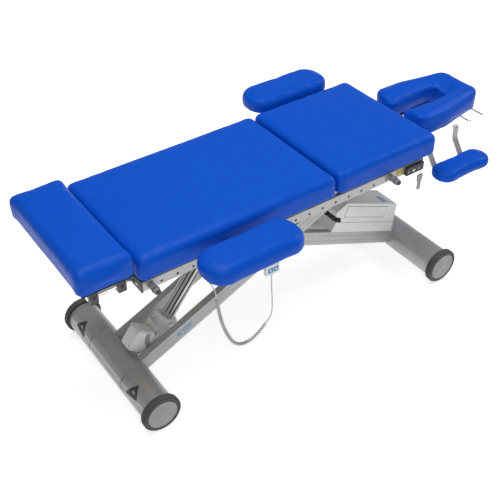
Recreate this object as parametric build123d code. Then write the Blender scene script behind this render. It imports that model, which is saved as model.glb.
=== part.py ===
from build123d import *
from math import atan2, cos, degrees, hypot, pi, radians, sin, tan
import os

os.makedirs("parts", exist_ok=True)

# Treatment table on a scissor lift. Millimetres, +X to the head end, +Y to the far side,
# +Z up. The origin is on the floor under the middle of the whole table.

# Overall layout along X
LENGTH = 1962.0
HALF_LENGTH = LENGTH / 2
PAD_WIDTH = 560.0
PAD_TOP = 757.0
PAD_THICKNESS = 90.0
PAD_GAP = 7.0
PAD_UNDERSIDE = PAD_TOP - PAD_THICKNESS
FOOT_PAD_LENGTH = 208.0
FOOT_PAD_RAISE = 39.0
PELVIC_LENGTH = 825.0
THORAX_LENGTH = 494.5
FOOT_PAD_X = -HALF_LENGTH + FOOT_PAD_LENGTH / 2
PELVIC_START = -HALF_LENGTH + FOOT_PAD_LENGTH + PAD_GAP
PELVIC_END = PELVIC_START + PELVIC_LENGTH
THORAX_START = PELVIC_END + PAD_GAP
THORAX_END = THORAX_START + THORAX_LENGTH
BOARD_THICKNESS = 8.0
BOARD_INSET = 22.0

# Scissor lift, seen from the side
LIFT_CENTRE_X = -63.0
FOOT_SPAN = 1417.0
LIFT_ANGLE = 23.5
FOOT_AXIS_Z = 78.0
TOP_PIVOT_Z = 585.0
FOOT_X = LIFT_CENTRE_X - FOOT_SPAN / 2
HEAD_X = LIFT_CENTRE_X + FOOT_SPAN / 2
LEVER = FOOT_SPAN / 2 / cos(radians(LIFT_ANGLE))
CROSS_Z = FOOT_AXIS_Z + LEVER * sin(radians(LIFT_ANGLE))
UPPER_LEVER = (TOP_PIVOT_Z - CROSS_Z) / sin(radians(LIFT_ANGLE))
TOP_REACH = UPPER_LEVER * cos(radians(LIFT_ANGLE))
INNER_TOP_X = LIFT_CENTRE_X - TOP_REACH
OUTER_TOP_X = LIFT_CENTRE_X + TOP_REACH
ARM_DEPTH = 60.0
ARM_WIDTH = 30.0
ARM_WALL = 3.0
OUTER_ARM_Y = 85.0
INNER_ARM_Y = 50.0

# Round feet
BEAM_RADIUS = 66.0
BEAM_WALL = 5.0
BEAM_HALF = 306.0
BEARING_RADIUS = 61.9
BEARING_GAP = 0.1
FOOT_SLEEVE_HALF = 127.0
HEAD_SLEEVE_HALF = 92.0
SEAM = 0.6
RING_RADIUS = 77.7
RING_WIDTH = 27.0
DISC_RADIUS = 68.8

# Upper frame
RAIL_HALF_WIDTH = 263.0
RAIL_WIDTH = 20.0
RAIL_LOW = 619.0
RAIL_HIGH = 659.0
RAIL_START = -755.0
RAIL_END = 500.0
HOLE_PITCH = 62.4
HOLE_FIRST_X = -684.2
HOLE_COUNT = 17
HOLE_Z = 634.0
HOLE_RADIUS = 5.0
CROSSBAR_LOW = 621.0
CROSSBAR_HIGH = 657.0
CROSSBAR_WIDTH = 40.0
CROSSBAR_XS = (-735.0, INNER_TOP_X, -60.0, 338.0, 480.0)
ROLLER_RADIUS = 18.0
TRACK_GAP = 0.4
TRACK_WALL = 4.0

# Lift actuator: a straight line in the middle plane, fixed to the outer arms
ACT_X = -552.0
ACT_Z = 188.0
ACT_ANGLE = 51.5
ACT_REACH = 460.0
COLUMN_RADIUS = 27.0
COLUMN_LENGTH = 300.0
ROD_RADIUS = 12.0
SLOT_LENGTH = 21.4
SLOT_ANGLE = -40.3
ROD_PIN_RADIUS = 10.0

# Head section
HEAD_START = 600.0
HEAD_END = HALF_LENGTH
HEAD_TOP = 750.0
HEAD_UNDERSIDE = 656.0
HEAD_HALF_WIDE = 160.0
HEAD_HALF_NARROW = 110.0
HEAD_PIVOT_X = 575.0
HEAD_PIVOT_Z = 672.0
FACE_SLOT_HALF = 38.0
FACE_SLOT_END = 868.0

# Armrests and forearm pads
ARMREST_LENGTH = 392.0
ARMREST_WIDTH = 166.0
ARMREST_THICKNESS = 62.0
ARMREST_Y = 389.0
NEAR_ARMREST_X = -406.0
NEAR_ARMREST_TOP = 742.0
FAR_ARMREST_X = 312.0
FAR_ARMREST_TOP = 766.0
POST_Y = 332.0
POST_RADIUS = 12.5
FOREARM_X = 731.0
FOREARM_Y = 268.0
FOREARM_LENGTH = 280.0
FOREARM_WIDTH = 112.0
FOREARM_TOP = 561.0
FOREARM_THICKNESS = 42.0

# Handset and its curly cord
HANDSET_X = -246.5
HANDSET_Y = -284.0
HANDSET_WIDTH = 62.0
HANDSET_DEPTH = 22.0
HANDSET_LOW = 464.0
HANDSET_HIGH = 606.0
BOOT_LENGTH = 16.0
LEAD_RADIUS = 2.5
COIL_RADIUS = 7.0
GLAND_X = -518.0
GLAND_Y = -273.0
GLAND_LOW = 604.0
LOWER_LEAD_ROUTE = [
    (-246.5, -284, 448), (-246.5, -284, 396), (-244.5, -287, 330),
    (-246, -288.4, 256), (-276, -289, 226),
]
COIL_ROUTE = [
    (-276, -289, 226), (-326, -290, 176), (-416, -291, 181), (-466, -290, 298),
    (-486, -289, 410), (-490.5, -288, 462),
]
UPPER_LEAD_ROUTE = [
    (-490.5, -288, 462), (-495, -287, 514), (-518, -273, 560), (-518, -273, 604),
]


def save(node, shape):
    """Write one sub-part, named after its node."""
    shape.label = node
    export_step(shape, f"parts/{node}.step")


def block(x0, x1, y0, y1, z0, z1):
    """Box between two corners."""
    size = (x1 - x0, y1 - y0, z1 - z0)
    return Pos((x0 + x1) / 2, (y0 + y1) / 2, (z0 + z1) / 2) * Box(*size)


def rod_y(x, z, radius, y0, y1):
    """Round bar along Y."""
    return Pos(x, (y0 + y1) / 2, z) * Rot(90, 0, 0) * Cylinder(radius, y1 - y0)


def mirrored(shape):
    """The shape and its twin on the other side of the middle plane."""
    return Compound(children=[shape, mirror(shape, Plane.XZ)])


def along(x, z, angle):
    """Place at a point of the middle plane, with local X turned up by the angle."""
    return Pos(x, 0, z) * Rot(0, -angle, 0)


def point_on(x, z, angle, distance):
    """Point of the middle plane at a distance along a direction."""
    return x + distance * cos(radians(angle)), z + distance * sin(radians(angle))


def rounded_pad(length, width, thickness, corner, edge):
    """Upholstered block: rounded in plan, soft along its upper and lower edges."""
    pad = extrude(RectangleRounded(length, width, corner), thickness)
    top_edges = pad.faces().sort_by(Axis.Z)[-1].edges()
    pad = fillet(top_edges, edge)
    low_edges = pad.faces().sort_by(Axis.Z)[0].edges()
    return fillet(low_edges, edge * 0.35)


def lever_tube(x, z, angle, length, y):
    """Rectangular tube of the lift, from the foot beam's axis to its rounded upper end."""
    outer = Box(length, ARM_WIDTH, ARM_DEPTH) + Pos(length / 2) * Rot(90, 0, 0) * Cylinder(
        ARM_DEPTH / 2, ARM_WIDTH
    )
    hollow_length = length - BEAM_RADIUS - ARM_DEPTH
    hollow = Pos((BEAM_RADIUS - ARM_DEPTH) / 2 + 12) * Box(
        hollow_length, ARM_WIDTH - 2 * ARM_WALL, ARM_DEPTH - 2 * ARM_WALL
    )
    tube = along(x, z, angle) * Pos(length / 2, y, 0) * (outer - hollow)
    return tube - rod_y(x, z, BEAM_RADIUS, y - ARM_WIDTH, y + ARM_WIDTH)


# --- Round feet -------------------------------------------------------------


def foot_beam(x, sleeve_half):
    """Beam that stands on the floor, turned down in the middle for the arms' sleeve."""
    beam = rod_y(x, FOOT_AXIS_Z, BEAM_RADIUS, -BEAM_HALF, BEAM_HALF)
    waist = rod_y(x, FOOT_AXIS_Z, BEAM_RADIUS + 1, -sleeve_half, sleeve_half)
    waist -= rod_y(x, FOOT_AXIS_Z, BEARING_RADIUS, -sleeve_half, sleeve_half)
    bore = rod_y(x, FOOT_AXIS_Z, BEARING_RADIUS - BEAM_WALL, -BEAM_HALF, BEAM_HALF)
    return beam - waist - bore


def sleeve(x, half):
    """Turning middle of the beam, which the arms are welded to."""
    reach = half - SEAM
    tube = rod_y(x, FOOT_AXIS_Z, BEAM_RADIUS, -reach, reach)
    return tube - rod_y(x, FOOT_AXIS_Z, BEARING_RADIUS + BEARING_GAP, -reach, reach)


def rubber_ring(x):
    """Rubber tyre at a beam's end, with a worn flat on the floor."""
    ring = rod_y(x, FOOT_AXIS_Z, RING_RADIUS + 1, BEAM_HALF, BEAM_HALF + RING_WIDTH)
    ring = fillet(ring.edges().filter_by(GeomType.CIRCLE), 6)
    ring -= rod_y(x, FOOT_AXIS_Z, DISC_RADIUS - 8, BEAM_HALF, BEAM_HALF + RING_WIDTH)
    return ring - block(x - 90, x + 90, BEAM_HALF - 1, BEAM_HALF + 40, -20, 0)


def end_disc(x):
    """Domed cap inside the rubber ring."""
    disc = rod_y(x, FOOT_AXIS_Z, DISC_RADIUS - 8, BEAM_HALF, BEAM_HALF + RING_WIDTH)
    dome_radius = 420.0
    cap = rod_y(x, FOOT_AXIS_Z, DISC_RADIUS, BEAM_HALF + RING_WIDTH, BEAM_HALF + RING_WIDTH + 6)
    ball_y = BEAM_HALF + RING_WIDTH + 6 - dome_radius
    return disc + (cap & (Pos(x, ball_y, FOOT_AXIS_Z) * Sphere(dome_radius)))


SOCKET_Y = 212.0
SOCKET_ANGLE = 140.0
SOCKET_FLOOR = BEAM_RADIUS - 16.0
SOCKET_RECESS = 1.2
OUTSIDE = BEAM_RADIUS + 10.0


def socket_wedge(depth_in, depth_out):
    """Three-cornered prism that points into the foot beam, for the trolley sockets."""
    outline = Polyline((-43, 30), (-3, -34), (38, 14), close=True)
    profile = fillet(make_face(outline).vertices(), 5)
    turned = Pos(FOOT_X, SOCKET_Y, FOOT_AXIS_Z) * Rot(0, 90 - SOCKET_ANGLE, 0)
    sketch = Pos(0, 0, depth_in) * Rot(0, 0, 90) * profile
    return turned * extrude(sketch, depth_out - depth_in)


foot = foot_beam(FOOT_X, FOOT_SLEEVE_HALF)
socket_cut = socket_wedge(SOCKET_FLOOR, OUTSIDE)
foot = foot - socket_cut - mirror(socket_cut, Plane.XZ)
save("foot_beam", foot)

insert = socket_wedge(SOCKET_FLOOR, OUTSIDE)
insert &= rod_y(FOOT_X, FOOT_AXIS_Z, BEAM_RADIUS - SOCKET_RECESS, 100, 300)
boss = Pos(FOOT_X, SOCKET_Y, FOOT_AXIS_Z) * Rot(0, 90 - SOCKET_ANGLE, 0)
boss = boss * Pos(0, 0, BEAM_RADIUS - 6) * extrude(Rot(0, 0, 90) * Ellipse(9, 6), 7.5)
insert = insert + boss
save("transport_sockets", mirrored(insert))

save("foot_rings", mirrored(rubber_ring(FOOT_X)))
save("foot_end_discs", mirrored(end_disc(FOOT_X)))
save("head_beam", foot_beam(HEAD_X, HEAD_SLEEVE_HALF))
save("head_rings", mirrored(rubber_ring(HEAD_X)))
save("head_end_discs", mirrored(end_disc(HEAD_X)))

# --- Outer arms, which rise towards the head end -------------------------------

AXLE_RADIUS = 15.0
ROLLER_AXLE_RADIUS = 9.0
ROLLER_Y0 = 103.0
ROLLER_Y1 = 116.0
CLEVIS_X, CLEVIS_Z = point_on(ACT_X, ACT_Z, ACT_ANGLE, -150)

save("foot_sleeve", sleeve(FOOT_X, FOOT_SLEEVE_HALF))

outer_arm = lever_tube(FOOT_X, FOOT_AXIS_Z, LIFT_ANGLE, LEVER + UPPER_LEVER, OUTER_ARM_Y)
outer_arm -= rod_y(LIFT_CENTRE_X, CROSS_Z, AXLE_RADIUS + BEARING_GAP, 60, 110)
outer_arm -= rod_y(OUTER_TOP_X, TOP_PIVOT_Z, ROLLER_AXLE_RADIUS, 60, 110)
save("outer_arms", mirrored(outer_arm))

roller_axle = rod_y(OUTER_TOP_X, TOP_PIVOT_Z, ROLLER_AXLE_RADIUS, -ROLLER_Y1, ROLLER_Y1)
for side in (-1, 1):
    y_in, y_out = sorted((side * ROLLER_Y0, side * ROLLER_Y1))
    roller_axle += rod_y(OUTER_TOP_X, TOP_PIVOT_Z, ROLLER_RADIUS, y_in, y_out)
save("track_rollers", roller_axle)

LUG_IN = 14.0
LUG_OUT = 22.0
lug = block(FOOT_X + 40, CLEVIS_X, LUG_IN, LUG_OUT, CLEVIS_Z - 19, CLEVIS_Z + 19)
lug += rod_y(CLEVIS_X, CLEVIS_Z, 19, LUG_IN, LUG_OUT)
lug -= rod_y(FOOT_X, FOOT_AXIS_Z, BEAM_RADIUS, 0, 40)
clevis_pin = rod_y(CLEVIS_X, CLEVIS_Z, 8, -LUG_OUT - 6, LUG_OUT + 6)
lug -= clevis_pin
save("actuator_bracket", Compound(children=[lug, mirror(lug, Plane.XZ), clevis_pin]))

# --- Actuator --------------------------------------------------------------------
# Local X runs up the actuator, local Z is across it on the foot side.

act = along(ACT_X, ACT_Z, ACT_ANGLE)
MOTOR_LOW, MOTOR_HIGH = -141.0, -46.0
motor = Pos((MOTOR_LOW + MOTOR_HIGH) / 2, -29, 93) * Box(MOTOR_HIGH - MOTOR_LOW, 70, 116)
motor = fillet(motor.edges(), 13)
gear = Pos(-68, 0, 8) * Box(76, 84, 96)
gear = fillet(gear.edges().filter_by(Axis.X), 24)
tongue = Pos(-128, 0, 0) * Box(50, 24, 30) + Pos(-150, 0, 0) * Rot(90, 0, 0) * Cylinder(15, 24)
tongue -= Pos(-150, 0, 0) * Rot(90, 0, 0) * Cylinder(8, 30)
save("actuator_motor", act * (motor + gear + tongue))

collar = Pos(0, 0, 0) * Rot(0, 90, 0) * Cylinder(46, 20)
collar = fillet(collar.edges().filter_by(GeomType.CIRCLE), 5)
neck = Pos(-20, 0, 0) * Rot(0, 90, 0) * Cylinder(37, 20)
well = Pos(6, 0, 0) * Rot(0, 90, 0) * Cylinder(COLUMN_RADIUS, 10)
save("actuator_collar", act * (collar + neck - well))


def ribbed_column():
    """Extruded column: round core with broad flutes down its length."""
    body = Cylinder(COLUMN_RADIUS, COLUMN_LENGTH)
    for k in range(10):
        flute = Rot(0, 0, k * 36 + 18) * Pos(COLUMN_RADIUS + 1, 0, 0) * Cylinder(4, COLUMN_LENGTH)
        body -= flute
    body -= Pos(0, 0, 20) * Cylinder(ROD_RADIUS + 0.4, COLUMN_LENGTH)
    return act * Pos(1 + COLUMN_LENGTH / 2, 0, 0) * Rot(0, 90, 0) * body


save("actuator_column", ribbed_column())

rod_start = 150.0
rod = Pos((rod_start + ACT_REACH) / 2, 0, 0) * Rot(0, 90, 0) * Cylinder(
    ROD_RADIUS, ACT_REACH - rod_start
)
rod += Pos(ACT_REACH, 0, 0) * Rot(90, 0, 0) * Cylinder(20, 26)
rod += Pos(ACT_REACH, 0, 0) * Rot(90, 0, 0) * Cylinder(ROD_PIN_RADIUS, 60)
save("actuator_rod", act * rod)

# --- Inner arms, which rise towards the foot end ------------------------------------

save("head_sleeve", sleeve(HEAD_X, HEAD_SLEEVE_HALF))

inner_arm = lever_tube(HEAD_X, FOOT_AXIS_Z, 180 - LIFT_ANGLE, LEVER + UPPER_LEVER, INNER_ARM_Y)
inner_arm -= rod_y(LIFT_CENTRE_X, CROSS_Z, AXLE_RADIUS, 20, 80)
PIVOT_RADIUS = 10.0
inner_arm -= rod_y(INNER_TOP_X, TOP_PIVOT_Z, PIVOT_RADIUS + 0.05, 20, 80)
save("inner_arms", mirrored(inner_arm))

axle = rod_y(LIFT_CENTRE_X, CROSS_Z, AXLE_RADIUS, -102, 102)
for side in (-1, 1):
    y_in, y_out = sorted((side * 100.8, side * 107))
    axle += rod_y(LIFT_CENTRE_X, CROSS_Z, 22, y_in, y_out)
save("centre_axle", axle)

ROD_TIP_X, ROD_TIP_Z = point_on(ACT_X, ACT_Z, ACT_ANGLE, ACT_REACH)
TIE_X, TIE_Z = point_on(LIFT_CENTRE_X, CROSS_Z, 180 - LIFT_ANGLE, 150)
SLOT_CENTRE = point_on(ROD_TIP_X, ROD_TIP_Z, SLOT_ANGLE, -SLOT_LENGTH / 2)
tie = rod_y(TIE_X, TIE_Z, 18, -35, 35)
plate_angle = degrees(atan2(SLOT_CENTRE[1] - TIE_Z, SLOT_CENTRE[0] - TIE_X))
plate_length = hypot(SLOT_CENTRE[1] - TIE_Z, SLOT_CENTRE[0] - TIE_X)
slot_plate = Pos(plate_length / 2, 21, 0) * Box(plate_length, 8, 44)
slot_plate = along(TIE_X, TIE_Z, plate_angle) * slot_plate
slot_turn = along(*SLOT_CENTRE, SLOT_ANGLE) * Pos(0, 21, 0) * Rot(90, 0, 0)
slot_plate += slot_turn * extrude(SlotCenterToCenter(SLOT_LENGTH, 56), 4, both=True)
slot_plate -= slot_turn * extrude(SlotCenterToCenter(SLOT_LENGTH + 1, 24.5), 6, both=True)
slot_plate -= rod_y(TIE_X, TIE_Z, 18, 0, 40)
save("inner_arm_tie", tie + slot_plate + mirror(slot_plate, Plane.XZ))

# --- Control box on the inner arms ----------------------------------------------------
# Local X runs down the arms from the crossing, local Z stands off them.

box_frame = along(LIFT_CENTRE_X, CROSS_Z, -LIFT_ANGLE)
BOX_HALF = 65.0
BOX_FOOT = ARM_DEPTH / 2
BOX_SPLIT = 76.0
BOX_TOP = 167.0
BOX_START = 300.0
BOX_END = 690.0


def box_profile(points, half):
    """Outline in the control box's side view, extruded over its width."""
    face = make_face(Polyline(*points, close=True))
    return box_frame * Rot(90, 0, 0) * extrude(face, half, both=True)


base = box_profile(
    [
        (BOX_START, BOX_FOOT), (BOX_END, BOX_FOOT),
        (BOX_END - 12, BOX_SPLIT), (BOX_START + 8, BOX_SPLIT),
    ],
    BOX_HALF,
)
cover = box_profile(
    [
        (BOX_START + 36, BOX_SPLIT), (BOX_END - 14, BOX_SPLIT), (BOX_END - 39, BOX_TOP),
        (BOX_START + 34, BOX_TOP), (BOX_START - 10, BOX_TOP - 44), (BOX_START - 6, BOX_SPLIT + 26),
        (BOX_START + 30, BOX_SPLIT + 22),
    ],
    BOX_HALF - 1,
)
cover = fillet(cover.edges().filter_by(Axis.Y), 3)
save("control_box_base", base)
save("control_box_cover", cover)

plugs = []
for y in (-42, -18, 6, 30):
    plug = box_frame * Pos(BOX_START + 16, y, BOX_SPLIT + 8) * Box(24, 15, 15.9)
    plugs.append(plug)
save("control_box_plugs", Compound(children=plugs))

# --- Upper frame -------------------------------------------------------------------

RAIL_INSIDE = RAIL_HALF_WIDTH - RAIL_WIDTH
RAIL_WALL = 2.5
rail = block(RAIL_START, RAIL_END, RAIL_INSIDE, RAIL_HALF_WIDTH, RAIL_LOW, RAIL_HIGH)
rail = fillet(rail.edges().filter_by(Axis.X), RAIL_WALL)
rail -= block(
    RAIL_START, RAIL_END, RAIL_INSIDE + RAIL_WALL, RAIL_HALF_WIDTH - RAIL_WALL,
    RAIL_LOW + RAIL_WALL, RAIL_HIGH - RAIL_WALL,
)
for k in range(HOLE_COUNT):
    hole_x = HOLE_FIRST_X + k * HOLE_PITCH
    rail -= rod_y(hole_x, HOLE_Z, HOLE_RADIUS, RAIL_HALF_WIDTH - 6, RAIL_HALF_WIDTH + 1)
save("side_rails", mirrored(rail))

FOOT_ROD_Y = 200.0
FOOT_ROD_Z = 640.0
FOOT_ROD_RADIUS = 12.5
crossbars = []
for x in CROSSBAR_XS:
    bar = block(
        x - CROSSBAR_WIDTH / 2, x + CROSSBAR_WIDTH / 2, -RAIL_INSIDE, RAIL_INSIDE,
        CROSSBAR_LOW, CROSSBAR_HIGH,
    )
    if x == CROSSBAR_XS[0]:
        for y in (-FOOT_ROD_Y, FOOT_ROD_Y):
            guide = Pos(x, y, FOOT_ROD_Z) * Rot(0, 90, 0) * Cylinder(FOOT_ROD_RADIUS + 0.1, 60)
            bar -= guide
    crossbars.append(bar)
save("crossbars", Compound(children=crossbars))

END_PLATE = 6.0
reach = RAIL_HALF_WIDTH
foot_plate = block(RAIL_START - END_PLATE, RAIL_START, -reach, reach, RAIL_LOW - 3, RAIL_HIGH + 5)
for y in (-FOOT_ROD_Y, FOOT_ROD_Y):
    foot_plate -= Pos(RAIL_START, y, FOOT_ROD_Z) * Rot(0, 90, 0) * Cylinder(FOOT_ROD_RADIUS + 2, 60)
head_plate_end = block(RAIL_END, RAIL_END + END_PLATE, -reach, reach, RAIL_LOW, RAIL_HIGH)
save("frame_end_plates", Compound(children=[foot_plate, head_plate_end]))

pivot_parts = []
for y0, y1 in ((27.5, 34), (66, 72)):
    ear = block(INNER_TOP_X - 20, INNER_TOP_X + 20, y0, y1, TOP_PIVOT_Z, CROSSBAR_LOW)
    ear += rod_y(INNER_TOP_X, TOP_PIVOT_Z, 20, y0, y1)
    ear -= rod_y(INNER_TOP_X, TOP_PIVOT_Z, PIVOT_RADIUS, y0 - 5, y1 + 5)
    pivot_parts += [ear, mirror(ear, Plane.XZ)]
pivot_pin = rod_y(INNER_TOP_X, TOP_PIVOT_Z, PIVOT_RADIUS, -78, 78)
save("lift_pivot", Compound(children=pivot_parts + [pivot_pin]))

TRACK_START, TRACK_END = 262.0, 498.0
half_height = ROLLER_RADIUS + TRACK_GAP + TRACK_WALL
track = block(
    TRACK_START, TRACK_END, 102.5, 121, TOP_PIVOT_Z - half_height, TOP_PIVOT_Z + half_height
)
track -= block(
    TRACK_START, TRACK_END, 100, 117, TOP_PIVOT_Z - ROLLER_RADIUS - TRACK_GAP,
    TOP_PIVOT_Z + ROLLER_RADIUS + TRACK_GAP,
)
track += block(TRACK_START, TRACK_END, 117, 121, TOP_PIVOT_Z, CROSSBAR_LOW)
save("roller_tracks", mirrored(track))

# --- Cushions of the body sections and their boards -----------------------------------


def board(x0, x1, underside):
    """Plywood board under a cushion."""
    half = PAD_WIDTH / 2 - BOARD_INSET
    low = underside - BOARD_THICKNESS
    return block(x0 + BOARD_INSET, x1 - BOARD_INSET, -half, half, low, underside)


pelvic = Pos((PELVIC_START + PELVIC_END) / 2, 0, PAD_UNDERSIDE) * rounded_pad(
    PELVIC_LENGTH, PAD_WIDTH, PAD_THICKNESS, 28, 22
)
save("pelvic_cushion", pelvic)
save("pelvic_board", board(PELVIC_START, PELVIC_END, PAD_UNDERSIDE))
thorax = Pos((THORAX_START + THORAX_END) / 2, 0, PAD_UNDERSIDE) * rounded_pad(
    THORAX_LENGTH, PAD_WIDTH, PAD_THICKNESS, 28, 22
)
save("thorax_cushion", thorax)
save("thorax_board", board(THORAX_START, THORAX_END, PAD_UNDERSIDE))

foot_underside = PAD_UNDERSIDE + FOOT_PAD_RAISE
foot_pad = Pos(FOOT_PAD_X, 0, foot_underside) * rounded_pad(
    FOOT_PAD_LENGTH, PAD_WIDTH, PAD_THICKNESS, 28, 22
)
save("foot_cushion", foot_pad)
save("foot_board", board(-HALF_LENGTH, -HALF_LENGTH + FOOT_PAD_LENGTH, foot_underside))
clamps = []
for x in (-910, -807):
    clamp_top = foot_underside - BOARD_THICKNESS
    clamp = block(x - 15, x + 15, FOOT_ROD_Y - 20, FOOT_ROD_Y + 20, 615, clamp_top)
    clamp = fillet(clamp.edges().filter_by(Axis.X), 4)
    clamp -= Pos(x, FOOT_ROD_Y, FOOT_ROD_Z) * Rot(0, 90, 0) * Cylinder(FOOT_ROD_RADIUS, 60)
    clamps += [clamp, mirror(clamp, Plane.XZ)]
save("foot_clamps", Compound(children=clamps))
slide_rod = Pos(-740, FOOT_ROD_Y, FOOT_ROD_Z) * Rot(0, 90, 0) * Cylinder(FOOT_ROD_RADIUS, 380)
save("foot_slide_rods", mirrored(slide_rod))

# --- Head section ------------------------------------------------------------------


def head_outline(inset):
    """Plan of the head cushion, narrowing towards the crown."""
    wide = HEAD_HALF_WIDE - inset
    narrow = HEAD_HALF_NARROW - inset
    line = Polyline(
        (HEAD_START + inset, -wide), (HEAD_START + 150, -wide + 4), (HEAD_END - inset, -narrow),
        (HEAD_END - inset, narrow), (HEAD_START + 150, wide - 4), (HEAD_START + inset, wide),
        close=True,
    )
    face = make_face(line)
    return face


def face_slot():
    """Plan of the opening for the face, open towards the chest."""
    start = HEAD_START - 20
    straight = Polyline(
        (start, -FACE_SLOT_HALF + 8), (FACE_SLOT_END - 60, -FACE_SLOT_HALF),
        (FACE_SLOT_END, -FACE_SLOT_HALF + 14), (FACE_SLOT_END, FACE_SLOT_HALF - 14),
        (FACE_SLOT_END - 60, FACE_SLOT_HALF), (start, FACE_SLOT_HALF - 8), close=True,
    )
    return make_face(straight)


head_face = head_outline(0)
head_face = fillet(head_face.vertices().sort_by(Axis.X)[-2:], 55)
head_face = fillet(head_face.vertices().sort_by(Axis.X)[:2], 45)
head_pad = extrude(Pos(0, 0, HEAD_UNDERSIDE) * (head_face - face_slot()), HEAD_TOP - HEAD_UNDERSIDE)
head_pad = chamfer(head_pad.faces().sort_by(Axis.Z)[-1].edges(), 9)
save("head_cushion", head_pad)

plate_thickness = 6.0
head_plate = extrude(
    Pos(0, 0, HEAD_UNDERSIDE - plate_thickness) * (head_outline(24) - face_slot()), plate_thickness
)
EAR_Y0, EAR_Y1 = 78.0, 84.0
head_plate_low = HEAD_UNDERSIDE - plate_thickness
ear = block(HEAD_PIVOT_X, HEAD_START + 40, EAR_Y0, EAR_Y1, head_plate_low - 22, head_plate_low)
ear += along(HEAD_PIVOT_X, HEAD_PIVOT_Z, -50) * Pos(16, (EAR_Y0 + EAR_Y1) / 2, 0) * Box(40, 6, 20)
ear += rod_y(HEAD_PIVOT_X, HEAD_PIVOT_Z, 10, EAR_Y0, EAR_Y1)
ear -= rod_y(HEAD_PIVOT_X, HEAD_PIVOT_Z, 6.05, EAR_Y0 - 2, EAR_Y1 + 2)
ear -= block(HEAD_START, HEAD_START + 80, 0, 200, head_plate_low, 800)
head_frame = head_plate + ear + mirror(ear, Plane.XZ)
save("head_frame", head_frame)

hinge_parts = []
FRAME_EAR_Y0, FRAME_EAR_Y1 = 86.0, 92.0
arm_plate = block(RAIL_END + END_PLATE, HEAD_PIVOT_X - 4, FRAME_EAR_Y0, FRAME_EAR_Y1, 622, 656)
riser = block(HEAD_PIVOT_X - 10, HEAD_PIVOT_X + 10, FRAME_EAR_Y0, FRAME_EAR_Y1, 622, HEAD_PIVOT_Z)
riser += rod_y(HEAD_PIVOT_X, HEAD_PIVOT_Z, 10, FRAME_EAR_Y0, FRAME_EAR_Y1)
hinge_ear = arm_plate + riser - rod_y(HEAD_PIVOT_X, HEAD_PIVOT_Z, 6, 60, 120)
head_pin = rod_y(HEAD_PIVOT_X, HEAD_PIVOT_Z, 6, 76, 94)
save(
    "head_hinge",
    Compound(children=[hinge_ear, mirror(hinge_ear, Plane.XZ), head_pin, mirror(head_pin, Plane.XZ)]),
)

LOOP_X0, LOOP_X1 = 878.0, 962.0
LOOP_Z = head_plate_low - 5
loop_path = FilletPolyline(
    (LOOP_X0, -60, LOOP_Z), (LOOP_X0, -158, LOOP_Z), (LOOP_X1, -158, LOOP_Z), (LOOP_X1, -60, LOOP_Z),
    radius=9,
)
loop = sweep(Plane(loop_path @ 0, z_dir=loop_path % 0) * Circle(3.5), path=loop_path)
save("release_loop", loop)

# --- Forearm pads ------------------------------------------------------------------

BAR_TOP = head_plate_low
BAR_LOW = FOREARM_TOP - FOREARM_THICKNESS - 4


def forearm_bars():
    """Two bent flat bars that carry a forearm pad below the head section."""
    bars = []
    for x in (FOREARM_X - 76, FOREARM_X + 76):
        path = FilletPolyline(
            (x, 140, BAR_TOP - 4), (x, 151, BAR_TOP - 12), (x, 152, 588),
            (x, 206, BAR_LOW), (x, 300, BAR_LOW),
            radius=[6, 40, 18],
        )
        start = Plane(path @ 0, x_dir=(1, 0, 0), z_dir=path % 0)
        bars.append(sweep(start * Rectangle(24, 8), path=path))
    return Compound(children=bars)


forearm_pad = Pos(FOREARM_X, FOREARM_Y, FOREARM_TOP - FOREARM_THICKNESS) * rounded_pad(
    FOREARM_LENGTH, FOREARM_WIDTH, FOREARM_THICKNESS, 55, 15
)
save("far_forearm_pad", forearm_pad)
save("near_forearm_pad", mirror(forearm_pad, Plane.XZ))
save("far_forearm_bars", forearm_bars())
save("near_forearm_bars", mirror(forearm_bars(), Plane.XZ))

# --- Armrests ----------------------------------------------------------------------


def armrest(side_name, x, top, flip):
    """Pad, post and rail carriage of one armrest."""
    low = top - ARMREST_THICKNESS
    pad = rounded_pad(ARMREST_LENGTH, ARMREST_WIDTH, ARMREST_THICKNESS, 74, 26)
    pad = Pos(x, ARMREST_Y, low) * pad
    post = Pos(x, POST_Y, (600 + low - 6) / 2) * Cylinder(POST_RADIUS, low - 6 - 600)
    post += block(x - 90, x + 90, POST_Y - 18, ARMREST_Y + 50, low - 6, low)
    rail_face = RAIL_HALF_WIDTH + 0.4
    carriage = block(x - 30, x + 30, rail_face, rail_face + 23.6, RAIL_LOW - 6, RAIL_HIGH + 2)
    carriage += block(x - 14, x + 14, rail_face + 20, POST_Y, RAIL_LOW - 2, RAIL_LOW + 36)
    carriage += Pos(x, POST_Y, RAIL_LOW + 17) * Cylinder(19, 38)
    carriage -= Pos(x, POST_Y, RAIL_LOW + 17) * Cylinder(POST_RADIUS + 0.1, 60)
    for name, shape in (("pad", pad), ("post", post), ("carriage", carriage)):
        placed = mirror(shape, Plane.XZ) if flip else shape
        save(f"{side_name}_armrest_{name}", placed)


armrest("near", NEAR_ARMREST_X, NEAR_ARMREST_TOP, True)
armrest("far", FAR_ARMREST_X, FAR_ARMREST_TOP, False)

# --- Knobs, lock box and key ---------------------------------------------------------


def drop_knob(x):
    """Tension knob of a drop section, standing out of the near rail."""
    y_face = -RAIL_HALF_WIDTH - 0.3
    knob = rod_y(x, 640, 13, y_face - 44, y_face)
    knob += rod_y(x, 640, 10.5, y_face - 50, y_face - 44)
    for k in range(12):
        angle = radians(30 * k)
        knob -= rod_y(x + 14 * cos(angle), 640 + 14 * sin(angle), 2, y_face - 42, y_face - 6)
    return knob


save("pelvic_drop_knob", drop_knob(-726))
save("thorax_drop_knob", drop_knob(333))

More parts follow.
